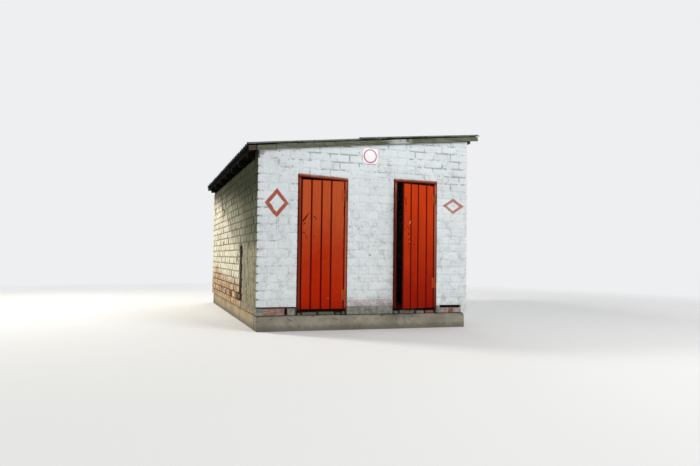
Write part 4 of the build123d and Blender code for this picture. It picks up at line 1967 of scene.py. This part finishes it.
@dataclass
class Door:
    """One doorway's joinery: frame, boards, ledges, brace, hinges, nails and scars."""

    side: str
    body: Body
    look: DoorLook
    head_finish: Material
    hinge_finish: Material
    back_finish: Material
    steel: Material
    pale: Material
    groove: float = 0.008
    nail: Span = (0.0036, 0.0012)
    nail_inset: float = 0.032
    nail_rows: Span = (-0.025, 0.024)
    skirt: float = 0.0035
    plate: float = 0.135
    screw: Span = (0.0042, 0.0014)
    screw_inset: float = 0.022
    screw_rows: Triple = (-0.36, 0.0, 0.36)
    pin: Triple = (0.0048, 0.005, 0.0012)

    def build(self) -> None:
        """Finds where the leaf stands and builds all the pieces of the doorway."""
        row = next(row for row in frame["joints"] if row["name"] == f"{self.side}_door_hinge")
        self.axis = Vector(row["pos_m"])
        turn = Matrix.Rotation(math.radians(-row["range_deg"][0]), 4, "Z")
        self.place = Matrix.Translation(self.axis) @ turn @ Matrix.Translation(-self.axis)
        self.unplace = self.place.inverted()
        self.turn = self.place.to_3x3()
        self.jamb_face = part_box(f"{self.side}_door_jambs")[0].y
        self.joinery()
        self.boards()
        self.backing()
        for part in ("door", "frame"):
            self.hinges(part)
        self.nails()
        self.scars()

    def local(self, vert: Vert) -> Vector:
        """Place of a vertex on the closed leaf."""
        return self.unplace @ vert.co

    def joinery(self) -> None:
        """Builds the frame's jambs, head, sill and stops, with worn edges and painted shade."""
        look = self.look
        for part in ("jambs", "head", "sill", "stops"):
            node = f"{self.side}_door_{part}"
            shape = Shape.of_node(node)
            face = min(vert.co.y for vert in shape.bm.verts)
            shape.bevel(0.0045)
            shape.slice(UP if part in ("jambs", "stops") else ACROSS, 0.05)
            if part == "jambs":
                shape.slice(ACROSS, 0, [edge for group in shape.islands() for edge in
                                        (min(vert.co.x for vert in group) + 0.012,
                                         max(vert.co.x for vert in group) - 0.012)])
            shape.slice(INTO, 0, (face + 0.0055,))
            shape.waver(0.0018, 6.0, look.seed)
            narrow = [item.verts for item in shape.bm.faces
                      if min(edge.calc_length() for edge in item.edges) < 0.006]
            shape.mark("rim", (vert for verts in narrow for vert in verts))
            tones = look.jamb_tones if part == "jambs" else (0.5, 0.5)
            middle = sum(corner.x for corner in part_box(node)) / 2
            shape.layer("tone", lambda vert: tones[0] if vert.co.x < middle else tones[1])
            front = self.jamb_face if part in ("jambs", "head") else face
            under = self.under_top(shape) if part == "head" else lambda vert: 0.0
            # Painted shade on faces set back behind the frame's face and, on the head, under its sloping top.
            shape.layer("groove", lambda vert: max(smooth(vert.co.y - front, 0.003, 0.007),
                                                   0.30 * smooth(under(vert), 0.012, 0.020)))
            shape.piece(f"{self.side}_{part}", self.head_finish if part == "head" else look.frame,
                        slot="frame_paint", stands_for=(node,))

    def under_top(self, shape: Shape) -> Callable[[Vert], float]:
        """Cuts a head lengthwise, for painted shade on its lower part.

        Args:
            shape: The head.

        Returns:
            How far a vertex lies under the head's sloping top.
        """
        spots = [vert.co for vert in shape.bm.verts]
        ends = [max((spot for spot in spots if abs(spot.x - x) < 0.02), key=lambda spot: spot.z).copy()
                for x in (min(spot.x for spot in spots), max(spot.x for spot in spots))]
        edge = (ends[1] - ends[0]).normalized()
        normal = Vector((-edge.z, 0, edge.x))
        top = normal.dot(ends[0])
        shape.slice(normal, 0, (top - 0.012, top - 0.020))
        return lambda vert: top - normal.dot(vert.co)

    def boards(self) -> None:
        """Builds the boards, whose joints are grooves with painted shade that darkens with depth."""
        node = f"{self.side}_door_boards"
        shape = Shape.of_node(node)
        chance = random.Random(self.look.seed)
        across, outward = self.turn @ ACROSS, self.turn @ -INTO
        face = min(self.local(vert).y for vert in shape.bm.verts)
        low = min(vert.co.z for vert in shape.bm.verts)
        hinge_edge = max(self.local(vert).x for vert in shape.bm.verts)
        shape.bevel(0.0015, 2, 60)
        shape.bm.normal_update()
        faces = [item for item in shape.bm.faces
                 if item.normal.dot(outward) > 0.95 and item.calc_area() > 0.05]
        # The 7 mm rims widen the painted shade beside the grooves.
        shape.rim_faces(faces, 0.007)
        shape.slice(UP, 0.06)
        # A strip dark_edge wide along the hinge edge gets painted shade, for the gap at the jamb.
        edge = self.place @ Vector((hinge_edge - self.look.dark_edge, face, 0))
        shape.slice(across, 0, (across.dot(edge),))
        tones = {}
        groups = sorted(shape.islands(), key=lambda group: min(self.local(vert).x for vert in group))
        for group, shade in zip(groups, self.look.board_tones):
            cut = chance.uniform(0.0, 0.005)
            bow = chance.uniform(-0.0008, 0.0012)
            for vert in group:
                tones[vert] = shade
                place = self.local(vert)
                if vert.co.z < low + 0.004:
                    vert.co.z += cut
                vert.co -= outward * bow * math.sin((place.z - low) * 2.1 + bow * 900) * 0.6
        shape.layer("tone", tones.get)
        shape.waver(0.0006, 9.0, self.look.seed)
        free_edge = min(self.local(vert).x for vert in shape.bm.verts)

        def shaded(vert: Vert) -> float:
            """Painted shade at a vertex, in a groove or at the hinge edge; the free edge of the leaf is
            painted like its face.

            Args:
                vert: The vertex.

            Returns:
                1 at the bottom of a groove and at the hinge edge, 0 on the face.
            """
            place = self.local(vert)
            if place.x < free_edge + 0.003:
                return 0.12
            return 1.0 if place.x > hinge_edge - 0.002 else smooth(place.y - face, 0.0012, self.groove * 0.9)

        shape.layer("groove", shaded)
        shape.piece(f"{self.side}_boards", self.look.boards, body=self.body, slot="door_paint",
                    stands_for=(node,), crease=30.0)

    def backing(self) -> None:
        """Builds the ledges and the brace on the back of the leaf."""
        for part in ("ledges", "brace"):
            node = f"{self.side}_door_{part}"
            shape = Shape.of_node(node)
            shape.bevel(0.003)
            shape.slice(self.turn @ ACROSS, 0.05)
            shape.tone_islands(self.look.seed + 1)
            shape.piece(f"{self.side}_{part}", self.back_finish, body=self.body, slot="grey_timber",
                        stands_for=(node,))

    def hinges(self, part: str) -> None:
        """Builds one half of the hinges with its screws, the painted shade around the plates, and the pins'
        ends.

        Args:
            part: "door" for the halves on the leaf, "frame" for those on the jamb, which hold the pins.
        """
        moving = part == "door"
        body = self.body if moving else Body.BUILDING
        place_of = self.place if moving else Matrix.Identity(4)
        node = f"{self.side}_{part}_hinges"
        shape = Shape.of_node(node)
        # Dark rims a little larger than the plates: painted shade at their edges.
        skirts = Shape()
        for group in shape.islands():
            spots = [place_of.inverted() @ vert.co for vert in group]
            plate = [spot for spot in spots if abs(spot.x - self.axis.x) > 0.012]
            if plate:
                low, high = ([pick(spot[n] for spot in plate) + reach for n in range(3)]
                             for pick, reach in ((min, -self.skirt), (max, self.skirt)))
                low[1], high[1] = self.jamb_face - 0.0007, self.jamb_face + 0.001
                for vert in skirts.block(low, high):
                    vert.co = place_of @ vert.co
        skirts.slice(UP, 0.02)
        skirts.waver(0.0012, 40.0, self.look.seed)
        skirts.plain(tone=0.5)
        skirts.piece(f"{self.side}_{part}_hinge_dirt", self.steel, body=body, slot="door_paint")
        shape.bevel(0.0006, 1, 60)
        shift = -self.screw_inset if moving else self.screw_inset
        for height in self.look.hinge_heights:
            for share in self.screw_rows:
                place = Vector((self.axis.x + shift + 0.002 * math.sin(share * 9), self.jamb_face - 0.003,
                                height + share * self.plate))
                shape.dome(place_of @ place, place_of.to_3x3() @ -INTO, *self.screw)
            for end in (() if moving else (-1, 1)):
                place = Vector((self.axis.x, self.axis.y, height + end * self.plate / 2))
                shape.pin(place + UP * end * 0.0015, *self.pin)
        low_tone, high_tone = self.look.hinge_tones
        high_tone += 0.30 if moving else 0.0
        shape.layer("tone", lambda vert: low_tone if vert.co.z < 1.0 else high_tone)
        shape.plain(groove=0.0, rim=0.0)
        shape.piece(f"{self.side}_{part}_hinge_plates", self.hinge_finish, body=body, slot="hinge_steel",
                    stands_for=(node,))

    def nails(self) -> None:
        """Drives painted nails through the boards into the ledges."""
        boards = Shape.of_node(f"{self.side}_door_boards")
        face = min(self.local(vert).y for vert in boards.bm.verts)
        runs = [[self.local(vert).x for vert in group] for group in boards.islands()]
        spans = [(min(run) + self.nail_inset, max(run) - self.nail_inset) for run in runs]
        boards.bm.free()
        last = max(end for _, end in spans) - 0.008
        chance = random.Random(self.look.seed)
        shape = Shape()
        for height in self.look.hinge_heights:
            for x in (end for span in spans for end in span):
                for row in self.nail_rows:
                    place = Vector((x + chance.uniform(-0.006, 0.006), face,
                                    height + row + chance.uniform(-0.01, 0.01)))
                    if place.x < last:
                        shape.dome(self.place @ place, self.turn @ -INTO, *self.nail, 8)
        shape.plain(tone=0.5, rim=0.0, groove=0.10)
        shape.piece(f"{self.side}_nails", self.look.boards, body=self.body, slot="door_paint")

    def scars(self) -> None:
        """Cuts the scratches and blots on the leaf's face."""
        shape = Shape()
        for scar in self.look.scars:
            made = bmesh.ops.create_icosphere(shape.bm, subdivisions=3, radius=1.0,
                                              matrix=self.place @ scar.place(self.jamb_face))
            for item in {item for vert in made["verts"] for item in vert.link_faces}:
                item.material_index = int(scar.pale)
        for vert in shape.bm.verts:
            shift = noise.noise_vector(vert.co * 90.0) * 0.0045
            vert.co += self.turn @ Vector((shift.x, 0, shift.z))
        shape.plain(tone=0.5)
        shape.piece(f"{self.side}_scars", self.steel, self.pale, body=self.body, slot="door_paint")


@dataclass
class Doors:
    """Both doorways and the paints that they share."""

    left_scars: tuple[tuple[float, ...], ...] = (
        (-0.806, 1.470, 0.032, 0.014, -54), (-0.828, 1.440, 0.040, 0.022, -48),
        (-0.846, 1.412, 0.034, 0.026, -50), (-0.864, 1.388, 0.040, 0.022, -62),
        (-0.852, 1.345, 0.050, 0.012, -35), (-0.722, 1.434, 0.034, 0.014, 43),
        (-0.700, 1.412, 0.026, 0.015, 38), (-0.861, 1.230, 0.044, 0.012, 25),
        (-0.633, 1.690, 0.030, 0.022, 80), (-0.836, 1.184, 0.020, 0.010, 38),
        (-0.814, 1.166, 0.026, 0.011, 30), (-0.723, 1.186, 0.016, 0.013), (-0.868, 0.651, 0.012, 0.009),
        (-0.702, 0.425, 0.015, 0.011), (-0.560, 1.560, 0.020, 0.006, 80),
        (-0.532, 0.405, 0.010, 0.008, 0, True), (-0.790, 1.300, 0.012, 0.007, -20))
    right_scars: tuple[tuple[float, ...], ...] = (
        (0.445, 1.700, 0.060, 0.015, 86), (0.449, 1.645, 0.060, 0.019, 84),
        (0.447, 1.590, 0.036, 0.011, 88), (0.449, 1.542, 0.022, 0.016),
        (0.522, 1.396, 0.058, 0.007, -61, True), (0.4315, 1.390, 0.026, 0.011, -40),
        (0.486, 1.335, 0.028, 0.014, 30), (0.503, 1.310, 0.022, 0.012, 60),
        (0.437, 1.307, 0.022, 0.012, -20), (0.497, 1.240, 0.040, 0.013, 80),
        (0.503, 1.180, 0.044, 0.010, 88), (0.509, 1.115, 0.040, 0.014, 82),
        (0.508, 1.205, 0.012, 0.006, 60, True), (0.515, 1.145, 0.010, 0.006, 40, True),
        (0.589, 1.109, 0.020, 0.014), (0.560, 1.255, 0.012, 0.008))

    def paint(self, name: str, top_colour: Colour, deep: Colour, primer: Colour = (0.34, 0.14, 0.085),
              **more: float) -> Material:
        """Mixes one paint for the doors or their frames, with other settings of the finish in more."""
        low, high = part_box("left_door_boards")
        return PaintedWood(name, top_colour, deep, primer, low.z, high.z, **more).make()

    def build(self) -> None:
        """Mixes the paints and builds both doorways."""
        # edge_shade paints shade along the rims of boards and frames.
        chips = dict(edge_shade=0.34, edge_chips=0.1)
        boards_left = self.paint("door_paint_left", (0.475, 0.080, 0.022), (0.405, 0.014, 0.001), **chips)
        boards_right = self.paint("door_paint_right", (0.53, 0.040, 0.004), (0.265, 0.005, 0.001), **chips)
        frame_left = self.paint("frame_paint_left", (0.375, 0.095, 0.045), (0.17, 0.026, 0.009),
                                (0.27, 0.14, 0.09), wear=0.35, spread=1.4, edge_shade=0.42, edge_chips=0.1)
        frame_right = self.paint("frame_paint_right", (0.36, 0.12, 0.07), (0.13, 0.018, 0.009),
                                 (0.36, 0.24, 0.19), wear=0.55, spread=0.9, **chips)
        hinges = self.paint("hinge_paint", (0.60, 0.085, 0.010), (0.25, 0.045, 0.022), wear=0.5, spread=2.0)
        head = self.paint("head_paint", (0.33, 0.11, 0.065), (0.20, 0.045, 0.026), (0.40, 0.28, 0.24),
                          wear=0.6)
        back = TimberFinish("door_back_timber", (8, 8, 8), (0.22, 0.17, 0.12), (0.09, 0.06, 0.04),
                            growth=0.0).make()
        # The dark blot finish serves the scars and the painted shade round the hinge plates.
        dark = BlotFinish("scar_dirt", (0.040, 0.007, 0.003), (0.115, 0.012, 0.004)).make()
        pale = BlotFinish("bare_scratch", (0.66, 0.52, 0.44), (0.45, 0.22, 0.14)).make()
        left_scars = [Scar(*row) for row in self.left_scars]
        right_scars = [Scar(*row) for row in self.right_scars]
        # The left door's low first jamb tone darkens its left jamb, less towards the top: painted shade.
        looks = {
            Body.LEFT_DOOR: DoorLook(boards_left, frame_left, (0.449, 1.723), (0.66, 0.42, 0.48, 0.62),
                                     (0.10, 0.95), (0.68, 0.08), left_scars, 0.002, 5),
            Body.RIGHT_DOOR: DoorLook(boards_right, frame_right, (0.603, 1.723), (0.72, 0.50, 0.50, 0.45),
                                      (0.25, 0.65), (0.58, 0.08), right_scars, 0.014, 9)}
        for body, look in looks.items():
            Door(body.value.removesuffix("_door"), body, look, head, hinges, back, dark, pale).build()


# Roof


@dataclass
class Roof:
    """Timbers, verge boards, corrugated sheets, their fixings and the moss on them."""

    sheet_cell: float = 0.12
    wave: float = 0.150
    crests: int = 34
    washer: Span = (0.016, 0.0035)
    head: Span = (0.006, 0.0035)
    fixing_rows: int = 5
    valley_tufts: int = 150
    purlin: float = 0.05
    plate_end: tuple[Triple, Triple] = ((1.405, -2.488, 2.527), (1.512, -2.402, 2.577))
    tufts: tuple[tuple[float, float, int], ...] = (
        (0.71, 0.11, 22), (1.14, 0.05, 9), (0.25, 0.08, 4), (-0.75, 0.25, 5), (1.40, 0.05, 3))

    def build(self) -> None:
        """Builds the roof from the timbers up."""
        self.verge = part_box("roof_sheets_lower")[0].y
        self.timbers()
        self.sheets()
        self.fixings()
        self.moss()

    def timbers(self) -> None:
        """Builds rafters, purlins, verge boards and the end of a wall plate, with worn, checked faces."""
        # Rafters and purlins are painted near black: painted shade under the roof.
        shaded_timber = dict(grey=(0.012, 0.011, 0.009), dark=(0.005, 0.0045, 0.004), brown=(0.011, 0.008, 0.006),
                    growth=0.0, sheen=0.01)
        sloped = TimberFinish("grey_timber_sloped", (2.2, 70, 70), **shaded_timber).make()
        level = TimberFinish("grey_timber_level", (70, 2.2, 70), **shaded_timber).make()
        verge = TimberFinish("verge_timber", (2.4, 60, 75), (0.19, 0.205, 0.155), (0.06, 0.066, 0.047),
                             (0.13, 0.115, 0.075), growth=0.75, splashed=(0.30, 0.56)).make()
        short = TimberFinish("verge_timber_short", (2.4, 60, 75), (0.19, 0.195, 0.145), (0.07, 0.07, 0.05),
                             (0.14, 0.13, 0.09), growth=0.4, brown_end=-1.475).make()
        rows = (("rafters", sloped, Plan.downhill, 0.12, 0.0015), ("purlins", level, INTO, 0.16, 0.0015),
                ("front_verge_board", verge, Plan.downhill, 0.05, 0.0022),
                ("front_verge_short_board", short, Plan.downhill, 0.05, 0.0022),
                ("back_verge_board", verge, Plan.downhill, 0.05, 0.0022))
        for number, (node, finish, direction, step, bend) in enumerate(rows):
            shape = Shape.of_node(node)
            shape.bevel(0.003)
            shape.slice(direction, step)
            shape.waver(bend, 3.5, number)
            shape.waver(0.0008, 22.0, number)
            shape.tone_islands(number + 2)
            shape.piece(f"{node}_worn", finish, slot="grey_timber", stands_for=(node,))
        plate = Shape()
        plate.block(*self.plate_end)
        plate.bevel(0.005, edges=plate.bm.edges[:])
        plate.slice(ACROSS, 0.03)
        plate.waver(0.003, 14.0, 3)
        plate.plain(tone=0.9)
        reddish = TimberFinish("plate_end_timber", (3, 60, 60), (0.13, 0.062, 0.045), (0.06, 0.030, 0.022),
                               (0.10, 0.045, 0.032), growth=0.1).make()
        plate.piece("wall_plate_end", reddish, slot="grey_timber")

    def sheets(self) -> None:
        """Builds the corrugated sheets with uneven edges."""
        finish = RoofFinish("roof_sheet").make()
        self.trees = []
        for node in ("roof_sheets_lower", "roof_sheets_upper"):
            shape = Shape.of_node(node, 0.4)
            near_ends = set()
            for group in shape.islands():
                places = [vert.co.dot(Plan.downhill) for vert in group]
                low, high = min(places), max(places)
                near_ends |= {round(low + 0.012, 3), round(high - 0.012, 3)}
                for vert, place in zip(group, places):
                    if min(place - low, high - place) < 0.001:
                        ragged = rough(Vector((vert.co.x, vert.co.y * 9.0, 3.0)))
                        vert.co += Plan.downhill * (0.006 if vert.co.x > 0.2 else -0.006) * ragged
            shape.slice(Plan.downhill, self.sheet_cell, near_ends)
            shape.waver(0.0012, 1.9, 1)
            self.trees.append(BVHTree.FromBMesh(shape.bm))
            shape.mark("rim", (vert for edge in shape.sharp_edges(50) for vert in edge.verts))
            turns = math.tau / self.wave
            shape.layer("low", lambda vert: 0.5 + 0.5 * math.cos((vert.co.y - self.verge) * turns))
            shape.bm.normal_update()
            shape.mark("under", (vert for vert in shape.bm.verts if vert.normal.z < 0))
            shape.piece(f"{node}_worn", finish, slot="roof_sheet", stands_for=(node,), crease=50.0)

    def on_roof(self, x: float, y: float) -> tuple[Vector, Vector] | None:
        """Highest point of the sheets at a place and the normal there, or None beside the roof."""
        hits = [tree.ray_cast(Vector((x, y, 4.0)), -UP)[:2] for tree in self.trees]
        return max((hit for hit in hits if hit[0] is not None), key=lambda hit: hit[0].z, default=None)

    def fixings(self) -> None:
        """Drives a nail with a washer through every third crest over each purlin."""
        steel = SteelFinish("roof_nails", clean=(0.16, 0.155, 0.15), rusted=0.75).make()
        low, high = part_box("purlins")
        inset = self.purlin * math.cos(Plan.pitch) / 2 + 0.002
        first, last = low.x + inset, high.x - inset
        shape = Shape()
        for row in range(self.fixing_rows):
            x = first + (last - first) * row / (self.fixing_rows - 1)
            for crest in range(1, self.crests, 3):
                hit = self.on_roof(x, self.verge + self.wave * (crest + 0.5))
                if hit is None or hit[0].z < 2.2:
                    continue
                place, normal = hit
                normal = normal if normal.z > 0 else -normal
                shape.dome(place, normal, *self.washer, 12)
                shape.dome(place + normal * 0.003, normal, *self.head, 8)
        shape.tone_islands(4)
        shape.piece("roof_fixings", steel, slot="roof_sheet")

    def moss(self) -> None:
        """Grows moss along the front verge and in the hollows."""
        chance = random.Random(31)
        spots = []
        for middle, half, count in self.tufts:
            for _ in range(count):
                spots.append((middle + chance.uniform(-half, half), self.verge + chance.uniform(0.004, 0.030),
                              chance.uniform(0.009, 0.020)))
        for _ in range(self.valley_tufts):
            valley = self.verge + self.wave * chance.randrange(1, self.crests)
            spots.append((chance.uniform(-1.6, 1.35), valley + chance.uniform(-0.018, 0.018),
                          chance.uniform(0.007, 0.024)))
        shape = Shape()
        for x, y, size in spots:
            hit = self.on_roof(x, y)
            if hit is None:
                continue
            turn = Matrix.Rotation(chance.uniform(0, 6.28), 4, "Z")
            flat = Matrix.Diagonal((size * chance.uniform(0.9, 1.6), size, size * 0.42, 1))
            bmesh.ops.create_icosphere(shape.bm, subdivisions=2, radius=1.0,
                                       matrix=Matrix.Translation(hit[0]) @ turn @ flat)
        shape.waver(0.004, 55.0, 3)
        shape.piece("roof_moss", GrowthFinish().make(), slot="roof_sheet", crease=180.0)


# Plate over the middle pier


@dataclass
class Plate:
    """Enamelled plate with a plain ring, held by four screws."""

    ring: float = 0.084
    stroke: float = 0.018
    inset: float = 0.016
    screw: Span = (0.0045, 0.002)

    def build(self) -> None:
        """Builds the plate and its screws."""
        low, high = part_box("sign_plate")
        middle = (low + high) / 2
        half = (high.x - low.x) / 2
        enamel = EnamelFinish("plate_enamel", middle.x, middle.z, self.ring, self.stroke, half).make()
        shape = Shape.of_node("sign_plate")
        shape.bevel(0.0006, 2, 60)
        shape.piece("plate", enamel, slot="sign_enamel", stands_for=("sign_plate",))
        steel = SteelFinish("plate_screws", rusted=0.7).make()
        screws = Shape()
        reach = half - self.inset
        for x in (middle.x - reach, middle.x + reach):
            for z in (middle.z - reach, middle.z + reach):
                screws.dome(Vector((x, low.y, z)), -INTO, *self.screw)
        screws.piece("plate_screws", steel, slot="sign_enamel")


# Studio


@dataclass
class Studio:
    """Pale floor, soft light and the camera at the photograph's place."""

    eye: Triple = (-2.7421, -9.9443, 0.9193)
    yaw: float = 18.558
    pitch: float = 2.36
    roll: float = 0.735
    lens: float = 31.341
    floor_tone: Colour = (0.78, 0.78, 0.77)
    floor_specks: Colour = (0.70, 0.70, 0.69)
    solid: float = 4.5
    towards_top: float = 13.0
    aim: Triple = (0, 0, 1.2)
    lamps: tuple[tuple[str, Triple, float, float, Colour], ...] = (
        ("key", (5.0, -11.0, 7.0), 6.0, 720.0, (1.0, 0.99, 0.975)),
        ("side", (-7.0, 3.0, 7.5), 2.0, 700.0, (1.0, 0.96, 0.88)),
        ("rim", (3.0, 9.0, 7.0), 6.0, 260.0, (1.0, 1.0, 1.0)))

    def build(self) -> None:
        """Builds floor, lights, world and camera."""
        self.floor()
        self.lights()
        self.world()
        self.camera()

    def add(self, name: str, data: bpy.types.ID, place: Matrix) -> bpy.types.Object:
        """Adds an object to the scene.

        Args:
            name: Its name.
            data: Its mesh, lamp or camera.
            place: Where it stands.

        Returns:
            The object.
        """
        made = bpy.data.objects.new(name, data)
        made.matrix_world = place
        bpy.context.scene.collection.objects.link(made)
        return made

    def floor(self) -> None:
        """Lays the floor."""
        bm = bmesh.new()
        bmesh.ops.create_grid(bm, x_segments=1, y_segments=1, size=120.0)
        mesh = bpy.data.meshes.new("studio_floor")
        bm.to_mesh(mesh)
        bm.free()
        g = Graph("studio_floor")
        reach = (g.x * g.x + g.y * g.y) ** 0.5
        tone = g.coats(self.floor_tone, (g.noise(3.0, 3.0) * 0.12, self.floor_specks))
        mesh.materials.append(g.finish(tone, 0.9, Alpha=reach.step(self.towards_top, self.solid)))
        made = self.add("studio_floor", mesh, Matrix())

    def lights(self) -> None:
        """Hangs a large soft lamp in front on the right, a small one on the left and a weak one behind."""
        for name, place, size, power, colour in self.lamps:
            lamp = bpy.data.lights.new(name, "AREA")
            lamp.shape = "SQUARE"
            lamp.size = size
            lamp.energy = power
            lamp.color = colour
            turn = (Vector(self.aim) - Vector(place)).to_track_quat("-Z", "Y").to_matrix().to_4x4()
            self.add(name, lamp, Matrix.Translation(place) @ turn)

    def world(self) -> None:
        """Lights the scene evenly from a pale sky."""
        world = bpy.data.worlds.new("studio")
        bpy.context.scene.world = world
        world.use_nodes = True
        tree = Tree(world.node_tree)
        path = tree.node("ShaderNodeLightPath").outputs
        seen = Value(tree, path["Is Camera Ray"]).most(Value(tree, path["Is Glossy Ray"]))
        light = tree.node("ShaderNodeBackground", None, {0: (0.96, 0.98, 1.0), 1: 0.50})
        shown = tree.node("ShaderNodeBackground", None, {0: (0.90, 0.91, 0.92), 1: 0.95})
        mix = tree.node("ShaderNodeMixShader", None, {0: seen, 1: light.outputs[0], 2: shown.outputs[0]})
        tree.node("ShaderNodeOutputWorld", None, {0: mix.outputs[0]})

    def camera(self) -> None:
        """Sets up the camera."""
        yaw, pitch, roll = (math.radians(angle) for angle in (self.yaw, self.pitch, self.roll))
        ahead = Vector((math.sin(yaw) * math.cos(pitch), math.cos(yaw) * math.cos(pitch), math.sin(pitch)))
        right = Vector((math.cos(yaw), -math.sin(yaw), 0))
        up = right.cross(ahead)
        across = right * math.cos(roll) + up * math.sin(roll)
        upright = up * math.cos(roll) - right * math.sin(roll)
        data = bpy.data.cameras.new("camera")
        data.lens = self.lens
        data.sensor_width = 36.0
        data.clip_end = 200.0
        turned = Matrix((across, upright, -ahead)).transposed().to_4x4()
        bpy.context.scene.camera = self.add("camera", data, Matrix.Translation(self.eye) @ turned)


def write_sizes() -> None:
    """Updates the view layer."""
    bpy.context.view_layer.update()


def main() -> None:
    """Builds the whole outhouse and its studio."""
    logging.basicConfig(level=logging.INFO, format="%(name)s %(message)s")
    noise.seed_set(NOISE_SEED)
    for part in (Walls(), Footing(), Doors(), Roof(), Plate(), Studio()):
        part.build()
        log.info("%s done", type(part).__name__)
    bpy.context.scene.view_settings.view_transform = "Standard"
    write_sizes()


if __name__ == "__main__":
    main()
